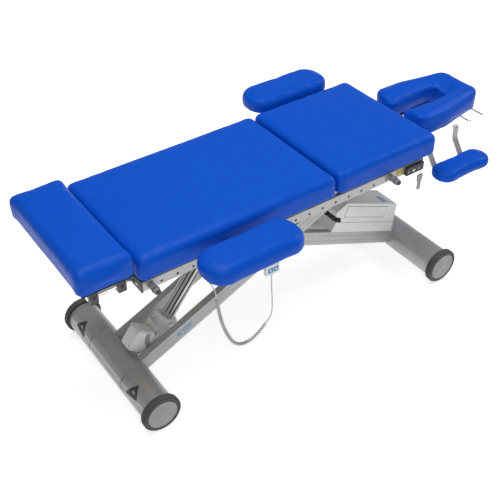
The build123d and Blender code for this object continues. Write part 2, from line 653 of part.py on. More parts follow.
LOCK_X0, LOCK_X1 = 408.0, 500.0
lock_box = block(LOCK_X0, LOCK_X1, -RAIL_HALF_WIDTH - 15, -RAIL_HALF_WIDTH, 618, 654)
lock_box = fillet(lock_box.edges(), 3)
save("lock_box", lock_box)

KEY_X, KEY_Y, KEY_TOP = 492.0, -270.5, 617.5
chain = Pos(KEY_X, KEY_Y, KEY_TOP - 2) * Sphere(2)
for k in range(6):
    chain += Pos(KEY_X, KEY_Y, KEY_TOP - 3.5 - 3.6 * k) * Sphere(2)
fob_top = KEY_TOP - 3.5 - 3.6 * 5 - 2.05
fob = block(KEY_X - 14, KEY_X + 14, KEY_Y - 4, KEY_Y + 4, fob_top - 30, fob_top)
fob = fillet(fob.edges().filter_by(Axis.Y), 4)
fob += block(KEY_X - 9, KEY_X + 8, KEY_Y - 3, KEY_Y + 3, fob_top - 72, fob_top - 28)
save("lock_key", Compound(children=[chain, fob]))

# --- Handset and cord --------------------------------------------------------------

y_front = HANDSET_Y - HANDSET_DEPTH / 2
y_back = HANDSET_Y + HANDSET_DEPTH / 2
handset = block(
    HANDSET_X - HANDSET_WIDTH / 2, HANDSET_X + HANDSET_WIDTH / 2, y_front, y_back,
    HANDSET_LOW, HANDSET_HIGH,
)
handset = fillet(handset.edges().filter_by(Axis.Z), 6)
hook = block(
    HANDSET_X - 14, HANDSET_X + 14, y_back - 2, -RAIL_HALF_WIDTH, HANDSET_HIGH - 40, HANDSET_HIGH + 40
)
hook -= block(HANDSET_X - 20, HANDSET_X + 20, y_back + 3, -200, HANDSET_HIGH - 41, RAIL_LOW)
handset += hook
KEY_Z = 484.0
KEY_HALF = 10.0
KEY_OFFSET = 12.0
KEY_PROUD = 1.6
for dx in (-KEY_OFFSET, KEY_OFFSET):
    key_well = Box(2 * KEY_HALF + 0.6, 5, 2 * KEY_HALF + 0.6)
    handset -= Pos(HANDSET_X + dx, y_front + 2, KEY_Z) * key_well
save("handset_shell", handset)
for name, dx in (("lower_key", -KEY_OFFSET), ("raise_key", KEY_OFFSET)):
    key = Box(2 * KEY_HALF, 1 + 2 * KEY_PROUD, 2 * KEY_HALF)
    key = Pos(HANDSET_X + dx, y_front + 0.7, KEY_Z) * key
    key = fillet(key.edges().filter_by(Axis.Y), 3)
    save(name, key)

boot = Pos(HANDSET_X, HANDSET_Y, HANDSET_LOW - BOOT_LENGTH / 2) * Cone(4, 7, BOOT_LENGTH)
gland = block(
    GLAND_X - 8, GLAND_X + 8, -RAIL_HALF_WIDTH - 20, -RAIL_HALF_WIDTH, GLAND_LOW + 10, GLAND_LOW + 34
)
gland += Pos(GLAND_X, GLAND_Y, GLAND_LOW + 5) * Cylinder(6, 10)
save("cord_strain_reliefs", Compound(children=[boot, gland]))


def cord_tube(name, route, radius):
    """Round tube along straight runs joined by tangent arcs as large as the runs allow."""
    points = [Vector(*p) for p in route]
    runs = [(b - a).length for a, b in zip(points, points[1:])]
    radii = []
    for i in range(1, len(points) - 1):
        turn = (points[i] - points[i - 1]).get_angle(points[i + 1] - points[i])
        radii.append(0.45 * min(runs[i - 1], runs[i]) / tan(radians(turn) / 2))
    path = FilletPolyline(*points, radius=radii)
    tube = sweep(Plane(path @ 0, z_dir=path % 0) * Circle(radius), path=path)
    print(name, "radii", [round(r) for r in radii], "length", round(path.length, 1),
          "volume ratio", round(tube.volume / (pi * radius ** 2 * path.length), 4))
    return tube


save("cord_lower_lead", cord_tube("lower lead", LOWER_LEAD_ROUTE, LEAD_RADIUS))
save("cord_coil", cord_tube("coil", COIL_ROUTE, COIL_RADIUS))
save("cord_upper_lead", cord_tube("upper lead", UPPER_LEAD_ROUTE, LEAD_RADIUS))
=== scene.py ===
import math

import bmesh
import bpy
from mathutils import Matrix, Vector, noise


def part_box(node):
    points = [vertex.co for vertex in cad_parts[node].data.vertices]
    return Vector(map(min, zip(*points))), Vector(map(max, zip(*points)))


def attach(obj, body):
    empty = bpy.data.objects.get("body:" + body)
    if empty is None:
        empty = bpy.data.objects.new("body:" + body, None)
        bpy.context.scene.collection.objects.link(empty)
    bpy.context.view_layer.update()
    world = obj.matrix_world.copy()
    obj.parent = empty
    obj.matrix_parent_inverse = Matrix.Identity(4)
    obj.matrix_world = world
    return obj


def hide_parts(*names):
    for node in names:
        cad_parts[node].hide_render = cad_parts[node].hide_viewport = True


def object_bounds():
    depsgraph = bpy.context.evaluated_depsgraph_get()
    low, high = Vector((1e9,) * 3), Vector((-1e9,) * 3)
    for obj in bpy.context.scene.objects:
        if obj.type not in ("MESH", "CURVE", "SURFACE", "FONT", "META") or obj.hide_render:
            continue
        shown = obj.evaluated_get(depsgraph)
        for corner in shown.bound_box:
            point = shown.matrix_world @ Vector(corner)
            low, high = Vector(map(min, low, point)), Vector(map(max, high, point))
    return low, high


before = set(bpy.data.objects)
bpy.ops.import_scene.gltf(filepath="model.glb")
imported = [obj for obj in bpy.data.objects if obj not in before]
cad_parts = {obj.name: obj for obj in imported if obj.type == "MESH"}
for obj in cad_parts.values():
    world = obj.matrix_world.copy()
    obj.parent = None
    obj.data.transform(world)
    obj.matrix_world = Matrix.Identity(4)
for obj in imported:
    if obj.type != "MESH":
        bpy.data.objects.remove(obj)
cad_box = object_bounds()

bl_info = {
    "name": "Treatment table",
    "version": (1, 0, 0),
    "blender": (4, 5, 0),
    "location": "3D View > Sidebar > Treatment table",
    "description": "Upholstery, finishes, fittings and studio for a scissor-lift treatment table",
    "category": "Object",
}

# --- Sizes that come from the frame -----------------------------------------------------------

FLOOR_Z = cad_box[0].z
RAIL_FACE_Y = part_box("side_rails")[0].y
RAIL_LOW_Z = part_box("side_rails")[0].z
FOOT_AXIS = (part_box("foot_rings")[0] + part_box("foot_rings")[1]) / 2
HEAD_AXIS = (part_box("head_rings")[0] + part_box("head_rings")[1]) / 2
AXIS_Z = 0.078
BEAM_RADIUS = 0.066
LIFT_ANGLE = math.radians(23.5)
CROSSING = Vector((-0.063, 0, 0.38606))
ACTUATOR = Vector((-0.552, 0, 0.188))
ACTUATOR_ANGLE = math.radians(51.5)
HOLE_FIRST_X = -0.6842
HOLE_PITCH = 0.0624
HOLE_COUNT = 17
HOLE_Z = 0.634
SLOT_HALF = 0.038
SLOT_END_X = 0.868
CUSHION_GAP = 0.0005
SIDES = (("near", -1), ("far", 1))
FOOT_RIBS = (124.0, 146.0, 168.0)
HEAD_RIBS = (12.0, 34.0, 56.0)
RIB_END = 0.3055
ARM_LENGTH = 0.77258 + 0.4989
FLUTE_COUNT = 10
FLUTE_RADIUS = 0.0245
FACE_FRONT = Matrix.Rotation(math.pi / 2, 4, "X")
SOCKET_ANGLE = 140.0
SOCKET_Y = 0.212
CAMERA_FORWARD = (0.43738, 0.63899, -0.63276)
CAMERA_ROLL = math.radians(-1.005)
CAMERA_PLACE = (-1.6268, -2.1633, 2.4747)
CLOTH_FRAMES = 20
CLOTH_PRESSURE = 4.0
SLOT_SINK = 0.015
SLOT_SPREAD = 0.040
SCOOP_DEPTH = 0.034
SCOOP_HALF = 0.055
SCOOP_LENGTH = 0.085
SEAM_PROFILE = ((-0.001, -0.0012), (0.0005, -0.0010), (0.0005, 0.0010), (-0.001, 0.0012))
SOCKET_FROM = 0.168
SOCKET_TO = 0.256

# The handset cord's route, from the handset's boot to the rail's gland.
LOWER_LEAD = [
    (-0.2465, -0.284, 0.448), (-0.2465, -0.284, 0.396), (-0.2445, -0.287, 0.33),
    (-0.246, -0.2884, 0.256), (-0.276, -0.289, 0.226),
]
COIL = [
    (-0.276, -0.289, 0.226), (-0.326, -0.29, 0.176), (-0.416, -0.291, 0.181),
    (-0.466, -0.29, 0.298), (-0.486, -0.289, 0.41), (-0.4905, -0.288, 0.462),
]
UPPER_LEAD = [
    (-0.4905, -0.288, 0.462), (-0.495, -0.287, 0.514),
    (-0.518, -0.273, 0.56), (-0.518, -0.273, 0.604),
]

# Each carried-over node and the finish that it wears.
NODE_FINISHES = {
    "grey_paint": [
        "foot_beam", "foot_sleeve", "outer_arms", "head_sleeve", "inner_arms", "head_beam",
        "side_rails", "crossbars", "roller_tracks", "head_hinge", "head_frame",
        "near_forearm_bars", "far_forearm_bars", "near_armrest_post", "far_armrest_post",
        "actuator_bracket", "inner_arm_tie",
    ],
    "bearing_steel": ["centre_axle", "lift_pivot", "track_rollers"],
    "black_plastic": [
        "transport_sockets", "frame_end_plates", "lock_box", "near_armrest_carriage",
        "far_armrest_carriage", "foot_clamps", "control_box_plugs",
    ],
    "grey_plastic": [
        "foot_end_discs", "head_end_discs", "pelvic_drop_knob", "thorax_drop_knob",
    ],
    "light_plastic": [
        "actuator_motor", "actuator_collar", "control_box_base", "control_box_cover",
        "handset_shell", "cord_strain_reliefs",
    ],
    "rubber": ["foot_rings", "head_rings"],
    "extrusion": ["actuator_column"],
    "chrome": ["actuator_rod", "foot_slide_rods", "release_loop"],
    "plywood": ["pelvic_board", "thorax_board", "foot_board"],
    "blue_key": ["raise_key", "lower_key"],
}


# --- Settings ---------------------------------------------------------------------------------


def colour_setting(name, description, value):
    """Colour property with a picker."""
    return bpy.props.FloatVectorProperty(
        name=name, description=description, default=value, size=3, subtype="COLOR",
        min=0.0, max=1.0,
    )


def length_setting(name, description, value):
    """Length property in metres."""
    return bpy.props.FloatProperty(
        name=name, description=description, default=value, min=0.0, subtype="DISTANCE",
        unit="LENGTH", precision=4,
    )


class TableColours(bpy.types.PropertyGroup):
    """Colours of the table's finishes."""

    vinyl: colour_setting("Vinyl", "Upholstery of every cushion", (0.0, 0.072, 0.50))
    paint: colour_setting("Paint", "Powder coat of the frame", (0.34, 0.345, 0.345))
    housing: colour_setting("Housings", "Motor, control box and handset", (0.66, 0.67, 0.67))
    cable: colour_setting("Cable", "Sheath of the handset cord", (0.44, 0.445, 0.44))
    label: colour_setting("Label", "Coloured patches on the labels", (0.0, 0.16, 0.36))


class CushionSettings(bpy.types.PropertyGroup):
    """How the cushions are stuffed."""

    shrink: length_setting("Shrink", "How much smaller the foam is before it swells", 0.0025)
    swell: length_setting("Swell", "Furthest that the vinyl moves out", 0.006)
    crown: length_setting("Crown", "Rise of the middle over the edges", 0.003)
    crease: length_setting("Crease", "Depth of the gathers at the corners", 0.0007)
    voxel: length_setting("Mesh size", "Grid of the cushion's mesh", 0.007)


class CordSettings(bpy.types.PropertyGroup):
    """The handset cord's cable and its curls."""

    cable: length_setting("Cable", "Diameter of the cable", 0.0044)
    curl_radius: length_setting("Curl radius", "Radius of the turns at the cable's middle", 0.0048)
    tight_pitch: length_setting("Tight pitch", "Turn to turn where the curls are closed", 0.0047)
    open_pitch: length_setting("Open pitch", "Turn to turn beside the handset's lead", 0.0095)


class StudioSettings(bpy.types.PropertyGroup):
    """Light, floor and camera."""

    floor: colour_setting("Floor", "Colour of the floor", (0.98, 0.98, 0.98))
    key_power: bpy.props.FloatProperty(
        name="Key light", description="Power of the large light", default=60.0, min=0.0,
        subtype="POWER", unit="POWER",
    )
    sky: bpy.props.FloatProperty(
        name="Surround", description="Brightness of the white surround", default=0.30, min=0.0
    )
    glow: bpy.props.FloatProperty(
        name="Floor glow", description="Light that the floor gives off", default=0.58, min=0.0
    )
    lens: bpy.props.FloatProperty(
        name="Lens", description="Focal length on a 36 mm sensor", default=60.41, min=1.0,
        subtype="DISTANCE_CAMERA",
    )


# --- Shared shader groups ---------------------------------------------------------------------


def add_node(tree, kind, inputs=None, **properties):
    """New shader node with its properties, input values and links set."""
    made = tree.nodes.new(kind)
    for key, value in properties.items():
        setattr(made, key, value)
    for key, value in (inputs or {}).items():
        if isinstance(value, bpy.types.NodeSocket):
            tree.links.new(value, made.inputs[key])
        else:
            made.inputs[key].default_value = value
    return made


def new_group(name, inputs, outputs):
    """Empty node group with float sockets; returns the group, its inputs and its output node."""
    group = bpy.data.node_groups.new(name, "ShaderNodeTree")
    for label, value in inputs.items():
        made = group.interface.new_socket(label, in_out="INPUT", socket_type="NodeSocketFloat")
        made.default_value = value
    for label in outputs:
        group.interface.new_socket(label, in_out="OUTPUT", socket_type="NodeSocketFloat")
    source = group.nodes.new("NodeGroupInput")
    return group, source.outputs, group.nodes.new("NodeGroupOutput")


def scaled_place(tree, scale, stretch=(1.0, 1.0, 1.0)):
    """Object coordinates, stretched along the axes and multiplied by a scale."""
    place = add_node(tree, "ShaderNodeTexCoord").outputs["Object"]
    drawn = add_node(tree, "ShaderNodeVectorMath", {0: place, 1: stretch}, operation="MULTIPLY")
    grow = add_node(tree, "ShaderNodeVectorMath", {0: drawn.outputs[0]}, operation="SCALE")
    tree.links.new(scale, grow.inputs["Scale"])
    return grow.outputs[0]


def maths(tree, operation, first, second=0.0, **properties):
    """Output of a math node."""
    made = add_node(
        tree, "ShaderNodeMath", {0: first, 1: second}, operation=operation, **properties
    )
    return made.outputs[0]


def noise_at(tree, place, scale, detail):
    """Noise from 0 to 1 at a place."""
    made = add_node(
        tree, "ShaderNodeTexNoise", {"Vector": place, "Scale": scale, "Detail": detail}
    )
    return made.outputs["Fac"]


def broken_mask(group, source, sink, mask, detail):
    """Puts out a mask that noise breaks up, as strong as the group's amount."""
    cloud = noise_at(group, scaled_place(group, source["Scale"]), 1.0, detail)
    patchy = maths(group, "MULTIPLY", mask, cloud)
    strength = maths(group, "MULTIPLY", patchy, source["Amount"], use_clamp=True)
    group.links.new(strength, sink.inputs["Mask"])
    return group


def leather_group():
    """Pebbled grain with fine pores, for vinyl and moulded plastic."""
    group, source, sink = new_group("Pebble grain", {"Scale": 900.0, "Pore": 0.3}, ["Height"])
    place = scaled_place(group, source["Scale"])
    cells = add_node(
        group, "ShaderNodeTexVoronoi", {"Vector": place, "Scale": 1.0, "Smoothness": 0.6},
        feature="SMOOTH_F1",
    )
    pores = maths(group, "MULTIPLY", noise_at(group, place, 2.4, 3.0), source["Pore"])
    height = maths(group, "SUBTRACT", pores, cells.outputs["Distance"])
    group.links.new(height, sink.inputs["Height"])
    return group


def mottle_group():
    """Broad unevenness with finer speckle, from 0 to 1."""
    group, source, sink = new_group("Mottle", {"Scale": 12.0, "Speckle": 0.35}, ["Mask"])
    place = scaled_place(group, source["Scale"])
    broad = noise_at(group, place, 1.0, 4.0)
    fine = noise_at(group, place, 31.0, 2.0)
    blend = add_node(group, "ShaderNodeMix", {0: source["Speckle"], 2: broad, 3: fine})
    ramp = add_node(
        group, "ShaderNodeMapRange",
        {"Value": blend.outputs[0], "From Min": 0.34, "From Max": 0.66},
        interpolation_type="SMOOTHSTEP",
    )
    group.links.new(ramp.outputs["Result"], sink.inputs["Mask"])
    return group


def wear_group():
    """Mask of rubbed edges, broken up by noise."""
    group, source, sink = new_group("Edge wear", {"Amount": 0.5, "Scale": 90.0}, ["Mask"])
    edge = add_node(group, "ShaderNodeNewGeometry").outputs["Pointiness"]
    sharp = add_node(
        group, "ShaderNodeMapRange", {"Value": edge, "From Min": 0.515, "From Max": 0.60}
    )
    return broken_mask(group, source, sink, sharp.outputs["Result"], 3.0)


def dust_group():
    """Mask of light dust on faces that look up."""
    group, source, sink = new_group("Dust", {"Amount": 0.2, "Scale": 35.0}, ["Mask"])
    normal = add_node(group, "ShaderNodeNewGeometry").outputs["Normal"]
    axes = add_node(group, "ShaderNodeSeparateXYZ", {0: normal})
    facing = add_node(
        group, "ShaderNodeMapRange", {"Value": axes.outputs["Z"], "From Min": 0.3, "From Max": 1.0}
    )
    return broken_mask(group, source, sink, facing.outputs["Result"], 5.0)


def brushed_group():
    """Long fine lines, drawn out along X, Y and Z by the three stretch values."""
    group, source, sink = new_group(
        "Drawn lines", {"Scale": 1.0, "X": 1.0, "Y": 1.0, "Z": 1.0}, ["Height"]
    )
    stretch = add_node(
        group, "ShaderNodeCombineXYZ", {"X": source["X"], "Y": source["Y"], "Z": source["Z"]}
    )
    place = scaled_place(group, source["Scale"], stretch.outputs[0])
    group.links.new(noise_at(group, place, 1.0, 2.0), sink.inputs["Height"])
    return group


GROUPS = {}


def place_group(tree, name, **values):
    """One of the shared groups inside a material, with its own values."""
    makers = {
        "leather": leather_group, "mottle": mottle_group, "wear": wear_group,
        "dust": dust_group, "brushed": brushed_group,
    }
    if name not in GROUPS:
        GROUPS[name] = makers[name]()
    made = tree.nodes.new("ShaderNodeGroup")
    made.node_tree = GROUPS[name]
    for key, value in values.items():
        made.inputs[key].default_value = value
    return made.outputs[0]


# --- Materials --------------------------------------------------------------------------------


def darker(colour, share):
    """Colour with alpha, multiplied by a share."""
    return tuple(channel * share for channel in colour[:3]) + (1.0,)


def tint(tree, base, other, mask):
    """Colour that turns from one to the other where the mask is 1."""
    mix = add_node(tree, "ShaderNodeMix", data_type="RGBA")
    for socket, value in ((mix.inputs[6], base), (mix.inputs[7], other), (mix.inputs[0], mask)):
        if isinstance(value, bpy.types.NodeSocket):
            tree.links.new(value, socket)
        else:
            socket.default_value = value
    return mix.outputs[2]


def range_of(tree, mask, low, high):
    """Mask from 0 to 1, mapped to a range."""
    made = add_node(
        tree, "ShaderNodeMapRange", {"Value": mask, "To Min": low, "To Max": high}
    )
    return made.outputs["Result"]


def start_material(name, colour):
    """Material with its Principled shader, and the colour that the viewport shows."""
    material = bpy.data.materials.new(name)
    material.use_nodes = True
    material.diffuse_color = tuple(colour[:3]) + (1.0,)
    shader = material.node_tree.nodes["Principled BSDF"]
    return material, material.node_tree, shader


def finish(
    name, colour, rough=(0.4, 0.5), metallic=0.0, specular=0.5, variation=0.9, mottle=12.0,
    grain=900.0, depth=0.0001, strength=0.3, wear=0.0, bare=(0.6, 0.6, 0.6), dust=0.0, coat=0.0,
    lines=None,
):
    """Material with uneven colour, grain, rubbed edges and dust, each as strong as it says."""
    material, tree, shader = start_material(name, colour)
    uneven = place_group(tree, "mottle", Scale=mottle)
    shown = tint(tree, tuple(colour[:3]) + (1.0,), darker(colour, variation), uneven)
    if wear:
        worn = place_group(tree, "wear", Amount=wear)
        shown = tint(tree, shown, tuple(bare) + (1.0,), worn)
    if dust:
        settled = place_group(tree, "dust", Amount=dust)
        shown = tint(tree, shown, (0.55, 0.53, 0.50, 1.0), settled)
    tree.links.new(shown, shader.inputs["Base Color"])
    tree.links.new(range_of(tree, uneven, *rough), shader.inputs["Roughness"])
    if lines:
        height = place_group(tree, "brushed", Scale=lines[0], X=lines[1], Y=lines[2], Z=lines[3])
    else:
        height = place_group(tree, "leather", Scale=grain)
    bump = add_node(
        tree, "ShaderNodeBump", {"Height": height, "Strength": strength, "Distance": depth}
    )
    tree.links.new(bump.outputs["Normal"], shader.inputs["Normal"])
    shader.inputs["Metallic"].default_value = metallic
    shader.inputs["Specular IOR Level"].default_value = specular
    shader.inputs["Coat Weight"].default_value = coat
    return material


def plywood():
    """Birch plies: bands through the thickness, long grain on the faces."""
    material, tree, shader = start_material("plywood", (0.60, 0.46, 0.30))
    place = add_node(tree, "ShaderNodeTexCoord").outputs["Object"]
    plies = add_node(
        tree, "ShaderNodeTexWave", {"Vector": place, "Scale": 190.0, "Distortion": 0.6},
        bands_direction="Z",
    )
    fibre = place_group(tree, "brushed", Scale=60.0, X=1.0, Y=14.0, Z=14.0)
    shown = tint(tree, (0.56, 0.40, 0.24, 1), (0.30, 0.19, 0.10, 1), plies.outputs["Fac"])
    shown = tint(tree, shown, (0.68, 0.52, 0.33, 1), fibre)
    tree.links.new(shown, shader.inputs["Base Color"])
    bump = add_node(tree, "ShaderNodeBump", {"Height": fibre, "Strength": 0.4, "Distance": 0.0003})
    tree.links.new(bump.outputs["Normal"], shader.inputs["Normal"])
    shader.inputs["Roughness"].default_value = 0.62
    return material


def striped(name, first, second, per_metre, slant):
    """Sticker film with slanting stripes of two colours."""
    material, tree, shader = start_material(name, first)
    place = add_node(tree, "ShaderNodeTexCoord").outputs["Object"]
    axes = add_node(tree, "ShaderNodeSeparateXYZ", {0: place})
    lean = add_node(
        tree, "ShaderNodeMath", {0: axes.outputs["Z"], 1: slant, 2: axes.outputs["X"]},
        operation="MULTIPLY_ADD",
    )
    part = maths(tree, "FRACT", maths(tree, "MULTIPLY", lean.outputs[0], per_metre))
    shown = tint(tree, first, second, maths(tree, "GREATER_THAN", part, 0.5))
    scuffed = place_group(tree, "mottle", Scale=160.0)
    shown = tint(tree, shown, (0.4, 0.4, 0.4, 1), range_of(tree, scuffed, 0.0, 0.12))
    tree.links.new(shown, shader.inputs["Base Color"])
    tree.links.new(range_of(tree, scuffed, 0.3, 0.5), shader.inputs["Roughness"])
    return material


MATERIALS = {}


def make_materials(colours):
    """Every finish of the table, by slot name."""
    paint = tuple(colours.paint)
    housing = tuple(colours.housing)
    MATERIALS["vinyl"] = finish(
        "blue_vinyl", tuple(colours.vinyl), rough=(0.36, 0.40), specular=0.11, variation=0.94,
        mottle=26.0, grain=620.0, depth=0.0004, strength=0.5,
    )
    MATERIALS["grey_paint"] = finish(
        "grey_powder_coat", paint, rough=(0.33, 0.44), metallic=0.45, variation=0.86,
        grain=1500.0, depth=0.00012, strength=0.25, wear=0.5, dust=0.10,
    )
    MATERIALS["bearing_steel"] = finish(
        "turned_steel", (0.50, 0.50, 0.51), rough=(0.22, 0.36), metallic=1.0, variation=0.8,
        lines=(40.0, 30.0, 1.0, 30.0), depth=0.00008, wear=0.3,
    )
    MATERIALS["black_plastic"] = finish(
        "black_plastic", (0.018, 0.018, 0.018), rough=(0.42, 0.6), variation=0.7, mottle=30.0,
        grain=1900.0, depth=0.00015, strength=0.35, wear=0.35, bare=(0.12, 0.12, 0.12), dust=0.08,
    )
    MATERIALS["grey_plastic"] = finish(
        "grey_plastic", (0.27, 0.275, 0.27), rough=(0.34, 0.5), variation=0.85, mottle=20.0,
        grain=1700.0, depth=0.00014, wear=0.3, bare=(0.45, 0.45, 0.45), dust=0.1,
    )
    MATERIALS["light_plastic"] = finish(
        "light_plastic", housing, rough=(0.36, 0.5), variation=0.93, mottle=14.0,
        grain=1500.0, depth=0.00016, wear=0.25, bare=(0.8, 0.8, 0.8), dust=0.12,
    )
    MATERIALS["rubber"] = finish(
        "tyre_rubber", (0.036, 0.036, 0.034), rough=(0.55, 0.75), variation=0.7, mottle=40.0,
        grain=1200.0, depth=0.0002, strength=0.4, wear=0.5, bare=(0.13, 0.13, 0.125), dust=0.22,
    )
    MATERIALS["extrusion"] = finish(
        "anodised_column", (0.55, 0.56, 0.56), rough=(0.28, 0.4), metallic=0.85, variation=0.88,
        lines=(55.0, 1.0, 26.0, 1.0), depth=0.00006, wear=0.2,
    )
    MATERIALS["chrome"] = finish(
        "chrome", (0.72, 0.72, 0.73), rough=(0.08, 0.18), metallic=1.0, variation=0.92,
        mottle=60.0, grain=400.0, depth=0.00002, strength=0.1,
    )
    MATERIALS["plywood"] = plywood()
    MATERIALS["cord_grey"] = finish(
        "cable_sheath", tuple(colours.cable), rough=(0.36, 0.5), variation=0.92, mottle=80.0,
        grain=2600.0, depth=0.00008, dust=0.06,
    )
    MATERIALS["blue_key"] = finish(
        "key_plastic", tuple(colours.label), rough=(0.28, 0.4), variation=0.85, mottle=90.0,
        grain=2400.0, depth=0.0001, wear=0.4, bare=(0.1, 0.4, 0.6),
    )
    MATERIALS["white_print"] = finish(
        "white_print", (0.82, 0.82, 0.82), rough=(0.4, 0.5), variation=0.94, grain=3000.0,
        depth=0.00004,
    )
    MATERIALS["warning"] = striped(
        "warning_film", (0.80, 0.52, 0.03, 1), (0.02, 0.02, 0.02, 1), 95.0, 1.0
    )
    MATERIALS["label"] = striped(
        "label_film", tuple(colours.label) + (1,), (0.30, 0.52, 0.66, 1), 120.0, 0.6
    )
    # Near-black for dark joints and seams, and as painted shade in the rail holes and the column's
    # flutes.
    MATERIALS["joint_and_shade_black"] = finish(
        "black_joints_and_painted_shade", (0.006, 0.006, 0.006), rough=(0.7, 0.85), variation=0.6, grain=900.0,
    )
    return MATERIALS


# --- Mesh helpers -----------------------------------------------------------------------------


def object_of(bm, name):
    """Object that holds what was built, with its normals out."""
    bmesh.ops.recalc_face_normals(bm, faces=bm.faces)
    mesh = bpy.data.meshes.new(name)
    bm.to_mesh(mesh)
    bm.free()
    made = bpy.data.objects.new(name, mesh)
    bpy.context.scene.collection.objects.link(made)
    return made


def fit(made, body, slot, material=None, angle=40.0):
    """Finishes a piece: the material of its slot (or the one given), smooth faces with crisp
    edges, and its body.
    """
    made.data.materials.clear()
    made.data.materials.append(MATERIALS[material or slot])
    for polygon in made.data.polygons:
        polygon.use_smooth = True
    made.data.set_sharp_from_angle(angle=math.radians(angle))
    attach(made, body)
    return made


def place_at(point, axis=(0, 0, 1)):
    """Matrix that stands local Z along an axis at a point."""
    turn = Vector(axis).to_track_quat("Z", "Y").to_matrix().to_4x4()
    return Matrix.Translation(point) @ turn


def lever_place(point, angle):
    """Matrix in the middle plane: local X along the lever, local Z across it."""
    return Matrix.Translation(point) @ Matrix.Rotation(-angle, 4, "Y")


def add_block(bm, matrix, size, edge=0.0006, segments=2):
    """Box with rounded edges."""
    part = bmesh.new()
    bmesh.ops.create_cube(part, size=1.0, matrix=Matrix.Diagonal((*size, 1.0)))
    bmesh.ops.bevel(
        part, geom=part.edges[:], offset=edge, segments=segments, profile=0.7, affect="EDGES"
    )
    bmesh.ops.transform(part, matrix=matrix, verts=part.verts)
    join_into(bm, part)


def join_into(bm, part):
    """Adds one built part to another and frees it."""
    carrier = bpy.data.meshes.new("carrier")
    part.to_mesh(carrier)
    part.free()
    bm.from_mesh(carrier)
    bpy.data.meshes.remove(carrier)


def add_turned(bm, matrix, profile, segments=32):
    """Turned solid: radius and height pairs from the axis out and back to it."""
    part = bmesh.new()
    rings = []
    for radius, height in profile:
        if radius < 1e-7:
            rings.append([part.verts.new((0, 0, height))])
            continue
        ring = []
        for k in range(segments):
            turn = 2 * math.pi * k / segments
            ring.append(part.verts.new((radius * math.cos(turn), radius * math.sin(turn), height)))
        rings.append(ring)
    for low, high in zip(rings, rings[1:]):
        for k in range(segments):
            after = (k + 1) % segments
            corners = [low[k % len(low)], low[after % len(low)]]
            corners += [high[after % len(high)], high[k % len(high)]]
            unique = list(dict.fromkeys(corners))
            if len(unique) > 2:
                part.faces.new(unique)
    bmesh.ops.transform(part, matrix=matrix, verts=part.verts)
    join_into(bm, part)


def add_screw(bm, point, axis, radius=0.005, height=0.003):
    """Cap screw with a rounded rim and a six-sided socket."""
    profile = [
        (0, 0), (radius, 0), (radius, height * 0.75), (radius * 0.88, height),
        (radius * 0.62, height), (radius * 0.6, height * 0.96),
    ]
    place = place_at(point, axis)
    add_turned(bm, place, profile + [(0, height * 0.96)], 24)
    floor, across = height * 0.97, radius * 0.5
    socket = [(0, floor), (across, floor), (across, height), (0, height)]
    add_turned(bm, place, socket, 6)


def add_strip(bm, matrix, outline, thickness):
    """Flat plate of an outline in local X and Y, as thick as it says along local Z."""
    part = bmesh.new()
    face = part.faces.new([part.verts.new((x, y, 0)) for x, y in outline])
    raised = bmesh.ops.extrude_face_region(part, geom=[face])
    verts = [item for item in raised["geom"] if isinstance(item, bmesh.types.BMVert)]
    bmesh.ops.translate(part, vec=(0, 0, thickness), verts=verts)
    bmesh.ops.bevel(
        part, geom=part.edges[:], offset=thickness * 0.3, segments=2, affect="EDGES"
    )
    bmesh.ops.transform(part, matrix=matrix, verts=part.verts)
    join_into(bm, part)


def blocks(name, body, slot, parts, material=None):
    """One piece of rounded blocks, each with its matrix, size, edge and segments."""
    bm = bmesh.new()
    for part in parts:
        add_block(bm, *part)
    return fit(object_of(bm, name), body, slot, material)


def screws(name, body, parts, slot="bearing_steel"):
    """One piece of screws, each with its point, axis, radius and height."""
    bm = bmesh.new()
    for part in parts:
        add_screw(bm, *part)
    return fit(object_of(bm, name), body, slot)


def turnings(name, body, slot, parts, material=None):
    """One piece of turned solids, each with its matrix, profile and segments."""
    bm = bmesh.new()
    for part in parts:
        add_turned(bm, *part)
    return fit(object_of(bm, name), body, slot, material)


def smoothstep(value):
    """0 below 0, 1 above 1, and a soft turn between."""
    value = min(max(value, 0.0), 1.0)
    return value * value * (3 - 2 * value)


# --- Cushions ---------------------------------------------------------------------------------


def apply_modifiers(made):
    """Bakes the evaluated mesh into the object and drops its modifiers."""
    graph = bpy.context.evaluated_depsgraph_get()
    result = bpy.data.meshes.new_from_object(made.evaluated_get(graph))
    old = made.data
    made.modifiers.clear()
    made.data = result
    bpy.data.meshes.remove(old)


def foam_blank(name, node, settings, voxel, soften):
    """Evenly meshed, softened copy of a cushion's solid, a little smaller than it."""
    bm = bmesh.new()
    bm.from_mesh(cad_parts[node].data)
    bmesh.ops.remove_doubles(bm, verts=bm.verts, dist=1e-5)
    bmesh.ops.recalc_face_normals(bm, faces=bm.faces)
    blank = object_of(bm, name)
    remesh = blank.modifiers.new("Even mesh", "REMESH")
    remesh.mode = "VOXEL"
    remesh.voxel_size = voxel
    soft = blank.modifiers.new("Soft edges", "SMOOTH")
    soft.factor = 0.7
    soft.iterations = soften
    apply_modifiers(blank)
    push_out(blank, -settings.shrink)
    return blank


def push_out(made, distance):
    """Moves every point of a mesh along its normal."""
    normals = [vertex.normal.copy() for vertex in made.data.vertices]
    for vertex, normal in zip(made.data.vertices, normals):
        vertex.co += normal * distance
    made.data.update()


